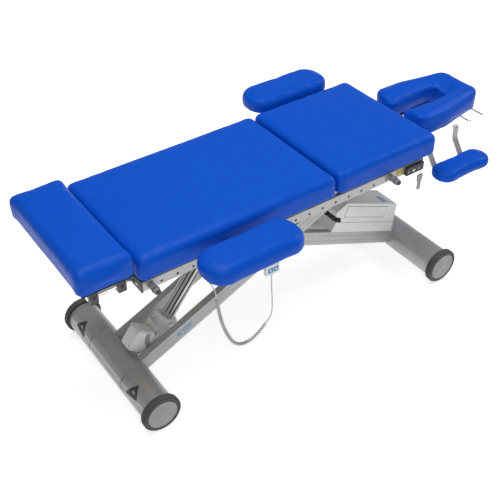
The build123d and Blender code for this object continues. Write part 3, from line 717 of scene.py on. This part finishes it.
def swell(made, furthest):
    """Blows the vinyl up against its own stiffness with a cloth simulation."""
    start = [vertex.co.copy() for vertex in made.data.vertices]
    cloth = made.modifiers.new("Vinyl", "CLOTH")
    cloth.settings.use_pressure = True
    cloth.settings.uniform_pressure_force = CLOTH_PRESSURE
    cloth.settings.effector_weights.gravity = 0.0
    cloth.settings.quality = 4
    cloth.collision_settings.use_collision = False
    cloth.point_cache.frame_start = 1
    cloth.point_cache.frame_end = CLOTH_FRAMES
    for step in range(1, CLOTH_FRAMES + 1):
        bpy.context.scene.frame_set(step)
    graph = bpy.context.evaluated_depsgraph_get()
    shaped = made.evaluated_get(graph).to_mesh()
    moved = [vertex.co.copy() for vertex in shaped.vertices]
    made.evaluated_get(graph).to_mesh_clear()
    made.modifiers.clear()
    for vertex, before, after in zip(made.data.vertices, start, moved):
        step = after - before
        if step.length > furthest:
            step *= furthest / step.length
        vertex.co = before + step
    bpy.context.scene.frame_set(1)


def dress(made, node, settings):
    """Crowns the top, gathers the corners, dimples the sides and keeps the bottom flat."""
    low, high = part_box(node)
    middle = (low + high) / 2
    half = (high - low) / 2
    normals = [vertex.normal.copy() for vertex in made.data.vertices]
    for vertex, normal in zip(made.data.vertices, normals):
        place = vertex.co.copy()
        u = (place.x - middle.x) / half.x
        v = (place.y - middle.y) / half.y
        up = smoothstep((place.z - middle.z) / half.z)
        place.z += settings.crown * up * max(0.0, 1 - u ** 4) * max(0.0, 1 - v ** 4)
        corner = smoothstep((abs(u) + abs(v) - 1.66) / 0.3)
        turn = math.atan2(half.y * (1 - abs(v)) + 0.02, half.x * (1 - abs(u)) + 0.02)
        gather = math.sin(turn * 46.0) * corner * smoothstep((middle.z - place.z) / half.z + 0.8)
        ripple = noise.noise(Vector((place.x * 9, place.y * 9, place.z * 14))) * 0.0009
        place += normal * (gather * settings.crease + ripple)
        place.z = max(place.z, low.z)
        place.x = min(max(place.x, low.x - 0.001), high.x + 0.001)
        place.y = min(max(place.y, low.y - 0.001), high.y + 0.001)
        vertex.co = place


def fill_box(made, node):
    """Stretches a cushion sideways and down to its solid's box, and keeps its crown."""
    low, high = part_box(node)
    for axis in range(3):
        found = [vertex.co[axis] for vertex in made.data.vertices]
        least, most = min(found), max(found)
        start = low[axis] if axis == 2 else low[axis] + CUSHION_GAP
        end = most if axis == 2 else high[axis] - CUSHION_GAP
        scale = (end - start) / (most - least)
        for vertex, value in zip(made.data.vertices, found):
            vertex.co[axis] = start + (value - least) * scale


def finish_cushion(made, node, body):
    """Rounds the mesh once more, fills its box and hands the cushion over."""
    soft = made.modifiers.new("Relax", "SMOOTH")
    soft.factor = 0.5
    soft.iterations = 2
    finer = made.modifiers.new("Finer", "SUBSURF")
    finer.levels = finer.render_levels = 1
    apply_modifiers(made)
    fill_box(made, node)
    fit(made, body, "vinyl", angle=75.0)
    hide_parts(node)


def upholster(name, node, body, settings, soften=6):
    """One cushion, from its solid to its finished vinyl."""
    made = foam_blank(name, node, settings, settings.voxel, soften)
    swell(made, settings.swell)
    dress(made, node, settings)
    finish_cushion(made, node, body)
    return made


def dish_head(made, low, high):
    """Sinks the head cushion towards its face slot, deepest at the crown end."""
    middle = (low.z + high.z) / 2
    for vertex in made.data.vertices:
        place = vertex.co
        ahead = max(0.0, place.x - SLOT_END_X)
        aside = max(0.0, abs(place.y) - SLOT_HALF)
        top = smoothstep((place.z - middle) / (high.z - middle))
        away = math.hypot(ahead * 0.7, aside)
        sink = SLOT_SINK * math.exp(-((away / SLOT_SPREAD) ** 2))
        scoop = SCOOP_DEPTH * math.exp(-((place.y / SCOOP_HALF) ** 2))
        scoop *= 1 - smoothstep(ahead / SCOOP_LENGTH)
        if ahead > 0:
            sink = max(sink, scoop)
        place.z -= sink * top


# --- Cord -------------------------------------------------------------------------------------


def nurbs_of(points, name, resolution=12):
    """Open NURBS curve through which a cord's line runs smoothly."""
    curve = bpy.data.curves.new(name, "CURVE")
    curve.dimensions = "3D"
    spline = curve.splines.new("NURBS")
    spline.points.add(len(points) - 1)
    for slot, point in zip(spline.points, points):
        slot.co = (*point, 1.0)
    spline.order_u = 3
    spline.use_endpoint_u = True
    spline.resolution_u = resolution
    return bpy.data.objects.new(name, curve)


def line_of(points):
    """Points along the NURBS line of a route."""
    probe = nurbs_of(points, "route", 32)
    mesh = bpy.data.meshes.new_from_object(probe)
    line = [vertex.co.copy() for vertex in mesh.vertices]
    bpy.data.meshes.remove(mesh)
    bpy.data.curves.remove(probe.data)
    return line


def curls(settings):
    """Helix round the route, open beside the handset's lead and closed further on."""
    line = line_of(COIL)
    reach = [0.0]
    for a, b in zip(line, line[1:]):
        reach.append(reach[-1] + (b - a).length)
    total = reach[-1]
    per_turn = 12
    across = Vector((0, 1, 0))
    points = []
    along, step, index = 0.0, 0, 0
    while along < total:
        while index < len(reach) - 2 and reach[index + 1] < along:
            index += 1
        share = (along - reach[index]) / max(reach[index + 1] - reach[index], 1e-9)
        place = line[index].lerp(line[index + 1], share)
        run = (line[index + 1] - line[index]).normalized()
        side = run.cross(across).normalized()
        turn = 2 * math.pi * step / per_turn
        grown = smoothstep(min(along, total - along) / 0.006)
        radius = settings.curl_radius * grown
        points.append(place + side * radius * math.cos(turn) + across * radius * math.sin(turn))
        loose = 1 - smoothstep((along - 0.03) / 0.11)
        pitch = settings.tight_pitch + (settings.open_pitch - settings.tight_pitch) * loose
        along += pitch / per_turn
        step += 1
    return [tuple(point) for point in points]


# --- Operators --------------------------------------------------------------------------------


class TABLE_OT_stage(bpy.types.Operator):
    """Camera, white surround, soft lights and pale floor"""

    bl_idname = "table.stage"
    bl_label = "Set the studio"

    def execute(self, context):
        settings = context.scene.table_studio
        scene = context.scene
        scene.view_settings.view_transform = "Standard"
        make_camera(scene, settings)
        make_lights(scene, settings)
        bm = bmesh.new()
        bmesh.ops.create_grid(bm, x_segments=8, y_segments=8, size=14.0)
        floor = object_of(bm, "studio_floor")
        floor.location = (0, 0, FLOOR_Z - 0.0005)
        coating = finish(
            "floor_coating", tuple(settings.floor), rough=(0.6, 0.7), specular=0.2,
            variation=0.99, mottle=2.0, grain=300.0, depth=0.0001, strength=0.05,
        )
        shader = coating.node_tree.nodes["Principled BSDF"]
        shader.inputs["Emission Color"].default_value = (1, 1, 1, 1)
        shader.inputs["Emission Strength"].default_value = settings.glow
        floor.data.materials.append(coating)
        return {"FINISHED"}


def make_camera(scene, settings):
    """Camera above the near side, looking down over the foot end."""
    forward = Vector(CAMERA_FORWARD).normalized()
    level = forward.cross(Vector((0, 0, 1))).normalized()
    upright = level.cross(forward)
    right = level * math.cos(CAMERA_ROLL) + upright * math.sin(CAMERA_ROLL)
    up = right.cross(forward)
    camera = bpy.data.cameras.new("studio_camera")
    camera.lens = settings.lens
    camera.sensor_width = 36.0
    camera.clip_end = 60.0
    made = bpy.data.objects.new("studio_camera", camera)
    scene.collection.objects.link(made)
    turn = Matrix((right, up, -forward)).transposed()
    made.matrix_world = Matrix.Translation(CAMERA_PLACE) @ turn.to_4x4()
    scene.camera = made


def make_lights(scene, settings):
    """White surround, one large key light and two fills."""
    world = bpy.data.worlds.new("studio_surround")
    world.use_nodes = True
    tree = world.node_tree
    surround = tree.nodes["Background"]
    surround.inputs["Color"].default_value = (1, 1, 1, 1)
    surround.inputs["Strength"].default_value = settings.sky
    backdrop = add_node(tree, "ShaderNodeBackground", {"Color": (1, 1, 1, 1), "Strength": 0.98})
    rays = add_node(tree, "ShaderNodeLightPath")
    seen = add_node(tree, "ShaderNodeMixShader", {
        0: rays.outputs["Is Camera Ray"],
        1: surround.outputs["Background"],
        2: backdrop.outputs["Background"],
    })
    tree.links.new(seen.outputs["Shader"], tree.nodes["World Output"].inputs["Surface"])
    scene.world = world
    lamps = (
        ("key", (-0.3, 0.1, 3.4), 1.8, 1.0),
        ("rim", (2.6, -0.4, 2.4), 1.2, 0.40),
        ("front", (-1.4, -2.4, 2.4), 0.9, 0.28),
    )
    for name, place, size, share in lamps:
        light = bpy.data.lights.new(f"studio_{name}", "AREA")
        light.size = size
        light.energy = settings.key_power * share
        made = bpy.data.objects.new(f"studio_{name}", light)
        made.location = place
        aim = Vector((0, 0, 0.5)) - Vector(place)
        made.rotation_mode = "QUATERNION"
        made.rotation_quaternion = aim.to_track_quat("-Z", "Y")
        scene.collection.objects.link(made)


class TABLE_OT_cord(bpy.types.Operator):
    """Curly handset cord with its straight leads"""

    bl_idname = "table.cord"
    bl_label = "Hang the handset cord"

    def execute(self, context):
        settings = context.scene.table_cord
        route = LOWER_LEAD[:-1] + curls(settings) + UPPER_LEAD[1:]
        cord = nurbs_of(route, "handset_cord", 3)
        cord.data.bevel_depth = settings.cable / 2
        cord.data.bevel_resolution = 3
        cord.data.use_fill_caps = True
        context.scene.collection.objects.link(cord)
        cord.data.materials.append(MATERIALS["cord_grey"])
        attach(cord, "upper_frame")
        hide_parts("cord_lower_lead", "cord_coil", "cord_upper_lead")
        line = line_of(route)
        return {"FINISHED"}


class TABLE_OT_finishes(bpy.types.Operator):
    """Finishes of the frame, the lift and the housings"""

    bl_idname = "table.finishes"
    bl_label = "Finish the frame"

    def execute(self, context):
        for slot, nodes in NODE_FINISHES.items():
            for node in nodes:
                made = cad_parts[node]
                if not made.material_slots:
                    made.data.materials.append(MATERIALS[slot])
                for place in made.material_slots:
                    place.material = MATERIALS[slot]
        return {"FINISHED"}


class TABLE_OT_body_cushions(bpy.types.Operator):
    """Foot, pelvic and thorax cushions"""

    bl_idname = "table.body_cushions"
    bl_label = "Upholster the body sections"

    def execute(self, context):
        settings = context.scene.table_cushions
        for section in ("pelvic", "thorax", "foot"):
            upholster(f"{section}_vinyl", f"{section}_cushion", f"{section}_section", settings)
        return {"FINISHED"}


class TABLE_OT_head_cushion(bpy.types.Operator):
    """Head cushion with its dished face slot"""

    bl_idname = "table.head_cushion"
    bl_label = "Upholster the head section"

    def execute(self, context):
        settings = context.scene.table_cushions
        low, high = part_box("head_cushion")
        made = foam_blank("head_vinyl", "head_cushion", settings, 0.005, 12)
        dish_head(made, low, high)
        swell(made, settings.swell * 0.7)
        for vertex in made.data.vertices:
            vertex.co.z = max(vertex.co.z, low.z)
        soft = made.modifiers.new("Round", "SMOOTH")
        soft.factor = 0.6
        soft.iterations = 5
        finish_cushion(made, "head_cushion", "head_section")
        return {"FINISHED"}


class TABLE_OT_arm_cushions(bpy.types.Operator):
    """Pads of the two armrests and the two forearm rests"""

    bl_idname = "table.arm_cushions"
    bl_label = "Upholster the arm pads"

    def execute(self, context):
        settings = context.scene.table_cushions
        for side in ("near", "far"):
            upholster(
                f"{side}_armrest_vinyl", f"{side}_armrest_pad", f"{side}_armrest", settings, 5
            )
            upholster(
                f"{side}_forearm_vinyl", f"{side}_forearm_pad", f"{side}_forearm_rest",
                settings, 4,
            )
        return {"FINISHED"}


class TABLE_OT_lift_fittings(bpy.types.Operator):
    """Ribs, seams and bosses of the round feet, and trim of the arms and the motor"""

    bl_idname = "table.lift_fittings"
    bl_label = "Fit the lift"

    def execute(self, context):
        foot_ends = both_sides((0.1295, SOCKET_FROM), (SOCKET_TO, RIB_END))
        head_ends = both_sides((0.0945, RIB_END))
        ribs("foot_beam_ribs", FOOT_AXIS, "foot_base", FOOT_RIBS, foot_ends)
        ribs("head_beam_ribs", HEAD_AXIS, "head_base", HEAD_RIBS, head_ends)
        ribs("foot_sleeve_ribs", FOOT_AXIS, "outer_levers", FOOT_RIBS, ((-0.1262, 0.1262),))
        ribs("head_sleeve_ribs", HEAD_AXIS, "inner_levers", HEAD_RIBS, ((-0.0912, 0.0912),))
        sleeve_seams("foot_sleeve_seams", FOOT_AXIS, 0.1274, "foot_base", 128.0, 190.0)
        sleeve_seams("head_sleeve_seams", HEAD_AXIS, 0.0924, "head_base", -10.0, 52.0)
        socket_bosses()
        column_flute_shade()
        lever_trim()
        motor_trim()
        lift_screws()
        return {"FINISHED"}


def out_at(angle):
    """Direction in the middle plane at an angle from +X, in degrees."""
    turn = math.radians(angle)
    return Vector((math.cos(turn), 0, math.sin(turn)))


def on_beam(axis_point, angle, y, rise):
    """Matrix on a round beam's face: local Y along the beam, local Z out of it."""
    out = out_at(angle)
    place = Vector((axis_point.x, y, AXIS_Z)) + out * (BEAM_RADIUS + rise)
    turn = Matrix((Vector((-out.z, 0, out.x)), Vector((0, 1, 0)), out)).transposed()
    return Matrix.Translation(place) @ turn.to_4x4()


def both_sides(*stretches):
    """Each stretch of Y, followed by its mirror."""
    return [pair for start, end in stretches for pair in ((start, end), (-end, -start))]


def ribs(name, axis_point, body, angles, stretches):
    """Thin raised extrusion lines along a round beam, at angles from +X."""
    return blocks(name, body, "grey_paint", [
        (
            on_beam(axis_point, angle, (start + end) / 2, 0.0001),
            (0.0032, end - start, 0.0018), 0.0007,
        )
        for angle in angles for start, end in stretches
    ])


def sleeve_seams(name, axis_point, half, body, start, end):
    """Dark joint lines round a beam beside its turning middle, from one angle to another."""
    bm = bmesh.new()
    steps = 14
    for side in (-1, 1):
        middle = Vector((axis_point.x, side * half, AXIS_Z))
        rings = []
        for k in range(steps + 1):
            out = out_at(start + (end - start) * k / steps)
            rings.append([
                bm.verts.new(middle + out * (BEAM_RADIUS + high) + Vector((0, wide, 0)))
                for high, wide in SEAM_PROFILE
            ])
        for a, b in zip(rings, rings[1:]):
            for k in range(4):
                bm.faces.new((a[k], a[(k + 1) % 4], b[(k + 1) % 4], b[k]))
        bm.faces.new(rings[0])
        bm.faces.new(rings[-1])
    return fit(object_of(bm, name), body, "black_plastic", "joint_and_shade_black")


def socket_bosses():
    """Light oval bosses in the trolley sockets of the foot-end beam."""
    oval = Matrix.Diagonal((0.7, 1.0, 1.0, 1.0))
    profile = [
        (0, 0.0008), (0.0086, 0.0008), (0.0104, 0.0020), (0.0104, 0.0030), (0.0092, 0.0042),
        (0.0060, 0.0046), (0, 0.0047),
    ]
    turnings("socket_bosses", "foot_base", "grey_paint", [
        (on_beam(FOOT_AXIS, SOCKET_ANGLE, side * SOCKET_Y, -0.0030) @ oval, profile, 40)
        for side in (-1, 1)
    ])


def column_flute_shade():
    """Painted shade: dark strips in the bottoms of the flutes down the actuator's column."""
    place = lever_place(ACTUATOR, ACTUATOR_ANGLE)
    along = Vector((1, 0, 0))
    parts = []
    for k in range(FLUTE_COUNT):
        turn = math.radians(36 * k + 18)
        out = Vector((0, math.sin(turn), -math.cos(turn)))
        turned = Matrix((along, out.cross(along), out)).transposed().to_4x4()
        middle = Matrix.Translation(along * 0.161 + out * FLUTE_RADIUS)
        parts.append((place @ middle @ turned, (0.276, 0.0044, 0.0014), 0.0004))
    # The near-black strips paint the shade that falls in each flute.
    blocks("column_flute_shade", "outer_levers", "black_plastic", parts, "joint_and_shade_black")


def lever_trim():
    """Raised beads along the arms' faces and the label's patches near the foot."""
    arms = (
        ("outer_levers", LIFT_ANGLE, 0.085, FOOT_AXIS.x),
        ("inner_levers", math.pi - LIFT_ANGLE, 0.050, HEAD_AXIS.x),
    )
    for body, angle, y, start_x in arms:
        base = lever_place(Vector((start_x, 0, AXIS_Z)), angle)
        blocks(f"{body}_beads", body, "grey_paint", [
            (
                base @ Matrix.Translation((ARM_LENGTH / 2 + 0.02, side * (y + 0.0151), offset)),
                (ARM_LENGTH - 0.22, 0.0012, 0.0024), 0.0005,
            )
            for side in (-1, 1) for offset in (-0.012, 0.012)
        ])
    base = lever_place(Vector((FOOT_AXIS.x, 0, AXIS_Z)), LIFT_ANGLE)
    patches = ((0.240, 0.018), (0.262, 0.010), (0.276, 0.014), (0.294, 0.012))
    blocks("arm_label_patches", "outer_levers", "blue_key", [
        (base @ Matrix.Translation((start, -0.1003, 0.001)), (long, 0.0008, 0.018), 0.0003)
        for start, long in patches
    ], "label")


def motor_trim():
    """Grey curved band, parting line and screws of the motor housing."""
    place = lever_place(ACTUATOR, ACTUATOR_ANGLE)
    bm = bmesh.new()
    steps = 14
    outer, inner = [], []
    for k in range(steps + 1):
        turn = math.radians(92 + 84 * k / steps)
        for line, radius in ((outer, 0.070), (inner, 0.050)):
            line.append((-0.050 + radius * math.cos(turn), 0.040 + radius * math.sin(turn)))
    face = place @ Matrix.Translation((0, -0.0636, 0)) @ FACE_FRONT
    add_strip(bm, face, outer + inner[::-1], 0.0018)
    fit(object_of(bm, "motor_band"), "outer_levers", "grey_plastic")
    blocks("motor_parting_line", "outer_levers", "grey_plastic", [
        (place @ Matrix.Translation((-0.0935, -0.029, 0.066)), (0.0956, 0.0706, 0.0012), 0.0004),
    ], "joint_and_shade_black")
    axis = place.to_3x3() @ Vector((0, 0, 1))
    screws("motor_screws", "outer_levers", [
        (place @ Vector((x, y, 0.1508)), axis, 0.0032, 0.0012)
        for x in (-0.123, -0.064) for y in (-0.052, -0.006)
    ])


def lift_screws():
    """Nuts of the centre axle and rubber lips round the end discs."""
    screws("axle_screws", "inner_levers", [
        ((CROSSING.x, side * 0.107, CROSSING.z), (0, side, 0), 0.013, 0.005)
        for side in (-1, 1)
    ])
    profile = [
        (0.0608, 0.0), (0.0682, 0.0), (0.0682, 0.0022), (0.0672, 0.0034),
        (0.0650, 0.0040), (0.0622, 0.0040), (0.0608, 0.0030), (0.0608, 0.0),
    ]
    for name, centre in (("foot", FOOT_AXIS), ("head", HEAD_AXIS)):
        turnings(f"{name}_disc_rims", f"{name}_base", "rubber", [
            (place_at((centre.x, side * 0.3325, AXIS_Z), (0, side, 0)), profile, 64)
            for side in (-1, 1)
        ])


class TABLE_OT_frame_fittings(bpy.types.Operator):
    """Fittings of the upper frame: black cups as painted shade in the rail holes, warning film,
    knobs' caps, screws, and dark linings that paint the shade line under the cushions
    """

    bl_idname = "table.frame_fittings"
    bl_label = "Fit the upper frame"

    def execute(self, context):
        # Black cups sunk in the rail holes: painted shade inside the hollow rail, not real
        # inserts.
        cup = [(0, 0), (0.0047, 0), (0.0047, 0.0012), (0.0040, 0.0016), (0, 0.0008)]
        for side_name, side in SIDES:
            y = side * (abs(RAIL_FACE_Y) - 0.0022)
            turnings(f"{side_name}_rail_hole_shade", "upper_frame", "black_plastic", [
                (place_at((HOLE_FIRST_X + k * HOLE_PITCH, y, HOLE_Z), (0, side, 0)), cup, 24)
                for k in range(HOLE_COUNT)
            ], "joint_and_shade_black")
        film = Matrix.Translation((0.382, RAIL_FACE_Y - 0.0002, 0.640))
        blocks(
            "warning_film", "upper_frame", "black_plastic",
            [(film, (0.036, 0.0006, 0.026), 0.0002)], "warning",
        )
        knob_trim()
        frame_screws()
        arm_screws()
        cushion_linings_and_shade()
        return {"FINISHED"}


def knob_trim():
    """Black caps and collars of the two drop knobs."""
    cap = [
        (0, 0), (0.0098, 0), (0.0104, 0.0008), (0.0104, 0.0024), (0.0092, 0.0036),
        (0.0050, 0.0042), (0, 0.0043),
    ]
    collar = [
        (0.0128, 0), (0.0142, 0), (0.0146, 0.001), (0.0142, 0.0036), (0.0128, 0.004),
        (0.0128, 0),
    ]
    for name, x in (("pelvic", -0.726), ("thorax", 0.333)):
        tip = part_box(f"{name}_drop_knob")[0].y
        turnings(f"{name}_knob_cap", f"{name}_knob", "black_plastic", [
            (place_at((x, tip + inside, 0.640), (0, -1, 0)), profile)
            for inside, profile in ((0.0005, cap), (0.016, collar))
        ])


def frame_screws():
    """Screws of the end plates, lock box, gland, roller tracks, hinge and pivot."""
    plate_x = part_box("frame_end_plates")[0].x
    lock_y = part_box("lock_box")[0].y
    parts = [
        ((plate_x, y, 0.640), (-1, 0, 0), 0.0055, 0.0032)
        for y in (-0.235, -0.12, 0.0, 0.12, 0.235)
    ]
    parts += [((x, lock_y, 0.636), (0, -1, 0), 0.0028, 0.0010) for x in (0.417, 0.470)]
    parts += [
        ((x, RAIL_FACE_Y + 0.006, RAIL_LOW_Z), (0, 0, -1), 0.0042, 0.0050)
        for x in (0.186, 0.206)
    ]
    parts += [
        ((x, side * 0.121, 0.585), (0, side, 0), 0.0045, 0.0028)
        for x in (0.30, 0.38, 0.46) for side in (-1, 1)
    ]
    for side in (-1, 1):
        parts.append(((0.575, side * 0.094, 0.672), (0, side, 0), 0.0075, 0.0030))
        parts.append(((-0.5205, side * 0.078, 0.585), (0, side, 0), 0.0085, 0.0036))
    screws("frame_screws", "upper_frame", parts)


def arm_screws():
    """Screws of the forearm rests, the armrests, their carriages and the foot clamps."""
    bar_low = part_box("near_forearm_bars")[0].z
    for side_name, side in SIDES:
        screws(f"{side_name}_forearm_screws", f"{side_name}_forearm_rest", [
            ((x, side * y, bar_low), (0, 0, -1), 0.0042, 0.0024)
            for x in (0.655, 0.807) for y in (0.235, 0.275)
        ])
    for (side_name, side), x in zip(SIDES, (-0.406, 0.312)):
        screws(f"{side_name}_carriage_screws", f"{side_name}_armrest_slider", [
            ((x + dx, side * 0.287, z), (0, side, 0), 0.0050, 0.0032)
            for dx in (-0.022, 0.022) for z in (0.652, 0.622)
        ])
        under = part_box(f"{side_name}_armrest_pad")[0].z - 0.006
        screws(f"{side_name}_armrest_screws", f"{side_name}_armrest", [
            ((x + dx, side * y, under), (0, 0, -1), 0.0050, 0.0028)
            for dx in (-0.07, 0.07) for y in (0.335, 0.420)
        ])
    screws("clamp_screws", "foot_section", [
        ((x, side * 0.220, 0.640), (0, side, 0), 0.0050, 0.0030)
        for x in (-0.910, -0.807) for side in (-1, 1)
    ], "black_plastic")


def cushion_linings_and_shade():
    """Dark lining cloth stapled under each body cushion's edge; its thin black band also paints
    the shade line beneath the cushion.
    """
    inset, band, thick, edge = 0.014, 0.015, 0.0016, 0.0005
    for name in ("pelvic", "thorax", "foot"):
        low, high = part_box(f"{name}_cushion")
        x0, x1, y1 = low.x + inset, high.x - inset, high.y - inset
        z = low.z - thick / 2
        parts = []
        for side in (-1, 1):
            long = Matrix.Translation(((x0 + x1) / 2, side * (y1 - band / 2), z))
            parts.append((long, (x1 - x0, band, thick), edge))
            edge_x = x0 + band / 2 if side < 0 else x1 - band / 2
            across = Matrix.Translation((edge_x, 0, z))
            parts.append((across, (band, 2 * y1 - 2 * band, thick), edge))
        blocks(f"{name}_lining_and_shade", f"{name}_section", "black_plastic", parts)


class TABLE_OT_control_box(bpy.types.Operator):
    """Panels, connector slot, label and screws of the control box"""

    bl_idname = "table.control_box"
    bl_label = "Fit the control box"

    def execute(self, context):
        place = lever_place(CROSSING, -LIFT_ANGLE)
        body = "inner_levers"
        half = 0.064
        blocks("control_box_panels", body, "light_plastic", [
            (place @ Matrix.Translation((0.470, side * half, 0.128)), (0.250, 0.0016, 0.050))
            for side in (-1, 1)
        ])
        blocks("control_box_panel_gaps", body, "light_plastic", [
            (
                place @ Matrix.Translation((0.470, side * (half - 0.0001), 0.128)),
                (0.2535, 0.0006, 0.0535), 0.0002,
            )
            for side in (-1, 1)
        ], "joint_and_shade_black")
        for name, slot, point, size, edge, material in (
            ("control_box_seam", "light_plastic", (0.500, 0, 0.0762), (0.350, 0.1286, 0.0012),
             0.0003, "joint_and_shade_black"),
            ("connector_recess", "black_plastic", (0.328, 0, 0.089), (0.030, 0.118, 0.020),
             0.001, "joint_and_shade_black"),
            ("control_box_label", "blue_key", (0.592, -0.020, 0.1672), (0.034, 0.052, 0.0008),
             0.0003, "label"),
        ):
            blocks(name, body, slot, [(place @ Matrix.Translation(point), size, edge)], material)
        up = place.to_3x3() @ Vector((0, 0, 1))
        screws("control_box_screws", body, [
            (place @ Vector((x, y, 0.1670)), up, 0.0035, 0.0012)
            for x in (0.352, 0.630) for y in (-0.052, 0.052)
        ])
        return {"FINISHED"}


class TABLE_OT_handset(bpy.types.Operator):
    """Plate, marks, lamp, arrows and boot ribs of the handset"""

    bl_idname = "table.handset"
    bl_label = "Fit the handset"

    def execute(self, context):
        centre_x, front_y, key_z = -0.2465, -0.295, 0.484
        blocks("handset_plate", "upper_frame", "light_plastic", [
            (
                Matrix.Translation((centre_x, front_y - 0.0001, 0.558)), (0.050, 0.0008, 0.082),
                0.0003,
            ),
        ], "white_print")
        bm = bmesh.new()
        lamp = [(0, 0), (0.0026, 0), (0.0024, 0.0008), (0, 0.0012)]
        add_turned(bm, place_at((centre_x, front_y - 0.0004, 0.512), (0, -1, 0)), lamp, 20)
        for height in (0.534, 0.548, 0.562):
            place = Matrix.Translation((centre_x, front_y - 0.0006, height))
            add_block(bm, place, (0.034, 0.0006, 0.005), 0.0002)
        fit(object_of(bm, "handset_marks"), "upper_frame", "blue_key", "label")
        for name, node, body, way in (
            ("raise_arrow", "raise_key", "up_button", 1),
            ("lower_arrow", "lower_key", "down_button", -1),
        ):
            low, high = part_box(node)
            middle = (low.x + high.x) / 2
            bm = bmesh.new()
            outline = [
                (middle - 0.0058, key_z - way * 0.004), (middle + 0.0058, key_z - way * 0.004),
                (middle, key_z + way * 0.006),
            ]
            add_strip(bm, Matrix.Translation((0, low.y, 0)) @ FACE_FRONT, outline, 0.0004)
            fit(object_of(bm, name), body, "blue_key", "white_print")
        boot_ribs(centre_x)
        return {"FINISHED"}


def boot_ribs(x):
    """Rounded ribs round the handset's boot, smaller towards the cord."""
    parts = []
    for k in range(4):
        radius = 0.0068 - k * 0.0007
        ring = [
            (radius - 0.002, -0.0007), (radius, -0.0007), (radius + 0.0006, 0),
            (radius, 0.0007), (radius - 0.002, 0.0007), (radius - 0.002, -0.0007),
        ]
        parts.append((place_at((x, -0.284, 0.4615 - k * 0.0036)), ring, 28))
    turnings("boot_ribs", "upper_frame", "light_plastic", parts)


class TABLE_OT_key(bpy.types.Operator):
    """Key on its bead chain and the keyhole's rim"""

    bl_idname = "table.key"
    bl_label = "Hang the key"

    def execute(self, context):
        hook_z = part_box("lock_key")[1].z
        x, y = 0.492, -0.2705
        bead = [
            (0.0019 * math.sin(math.pi * j / 8), -0.0019 * math.cos(math.pi * j / 8))
            for j in range(9)
        ]
        parts = [(place_at((x, y, hook_z - 0.0036 - 0.0036 * k)), bead, 16) for k in range(6)]
        link = [(0, 0), (0.0006, 0), (0.0006, 0.0215), (0, 0.0215)]
        parts.append((place_at((x, y, hook_z - 0.0225)), link, 10))
        chain = turnings("key_chain", "hanging_key", "chrome", parts)
        top = hook_z - 0.0232
        grip = blocks("key_fob", "hanging_key", "grey_plastic", [
            (Matrix.Translation((x, y, top - 0.015)), (0.027, 0.0078, 0.029), 0.003, 3),
            (
                Matrix.Translation((x - 0.0005, y, top - 0.049)), (0.0168, 0.0058, 0.046),
                0.0016, 3,
            ),
        ])
        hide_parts("lock_key")
        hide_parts("lock_key")
        profile = [
            (0.0032, 0), (0.0062, 0), (0.0062, 0.0012), (0.0052, 0.0018), (0.0034, 0.0018),
            (0.0032, 0.0010), (0.0032, 0),
        ]
        rim = place_at((0.445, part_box("lock_box")[0].y, 0.636), (0, -1, 0))
        turnings("keyhole_rim", "upper_frame", "chrome", [(rim, profile)])
        return {"FINISHED"}


class TABLE_PT_panel(bpy.types.Panel):
    """Settings and steps of the treatment table"""

    bl_idname = "TABLE_PT_panel"
    bl_label = "Treatment table"
    bl_space_type = "VIEW_3D"
    bl_region_type = "UI"
    bl_category = "Treatment table"

    def draw(self, context):
        scene = context.scene
        for group in SETTINGS:
            box = self.layout.box()
            settings = getattr(scene, group)
            for name in settings.bl_rna.properties.keys():
                if name not in ("rna_type", "name"):
                    box.prop(settings, name)
        for step in STEPS:
            self.layout.operator(step.bl_idname)


SETTINGS = {
    "table_colours": TableColours,
    "table_cushions": CushionSettings,
    "table_cord": CordSettings,
    "table_studio": StudioSettings,
}
STEPS = [
    TABLE_OT_stage, TABLE_OT_cord, TABLE_OT_finishes, TABLE_OT_body_cushions,
    TABLE_OT_head_cushion, TABLE_OT_arm_cushions, TABLE_OT_lift_fittings,
    TABLE_OT_frame_fittings, TABLE_OT_control_box, TABLE_OT_handset, TABLE_OT_key,
]


def register():
    """Registers the settings, the steps and the panel."""
    for group in (*SETTINGS.values(), *STEPS, TABLE_PT_panel):
        bpy.utils.register_class(group)
    for name, group in SETTINGS.items():
        setattr(bpy.types.Scene, name, bpy.props.PointerProperty(type=group))


def unregister():
    """Takes everything that register made away again."""
    for name in SETTINGS:
        delattr(bpy.types.Scene, name)
    for group in reversed((*SETTINGS.values(), *STEPS, TABLE_PT_panel)):
        bpy.utils.unregister_class(group)


def main():
    """Builds the table's looks in order."""
    register()
    make_materials(bpy.context.scene.table_colours)
    for step in STEPS:
        group, name = step.bl_idname.split(".")
        getattr(getattr(bpy.ops, group), name)()


if __name__ == "__main__":
    main()
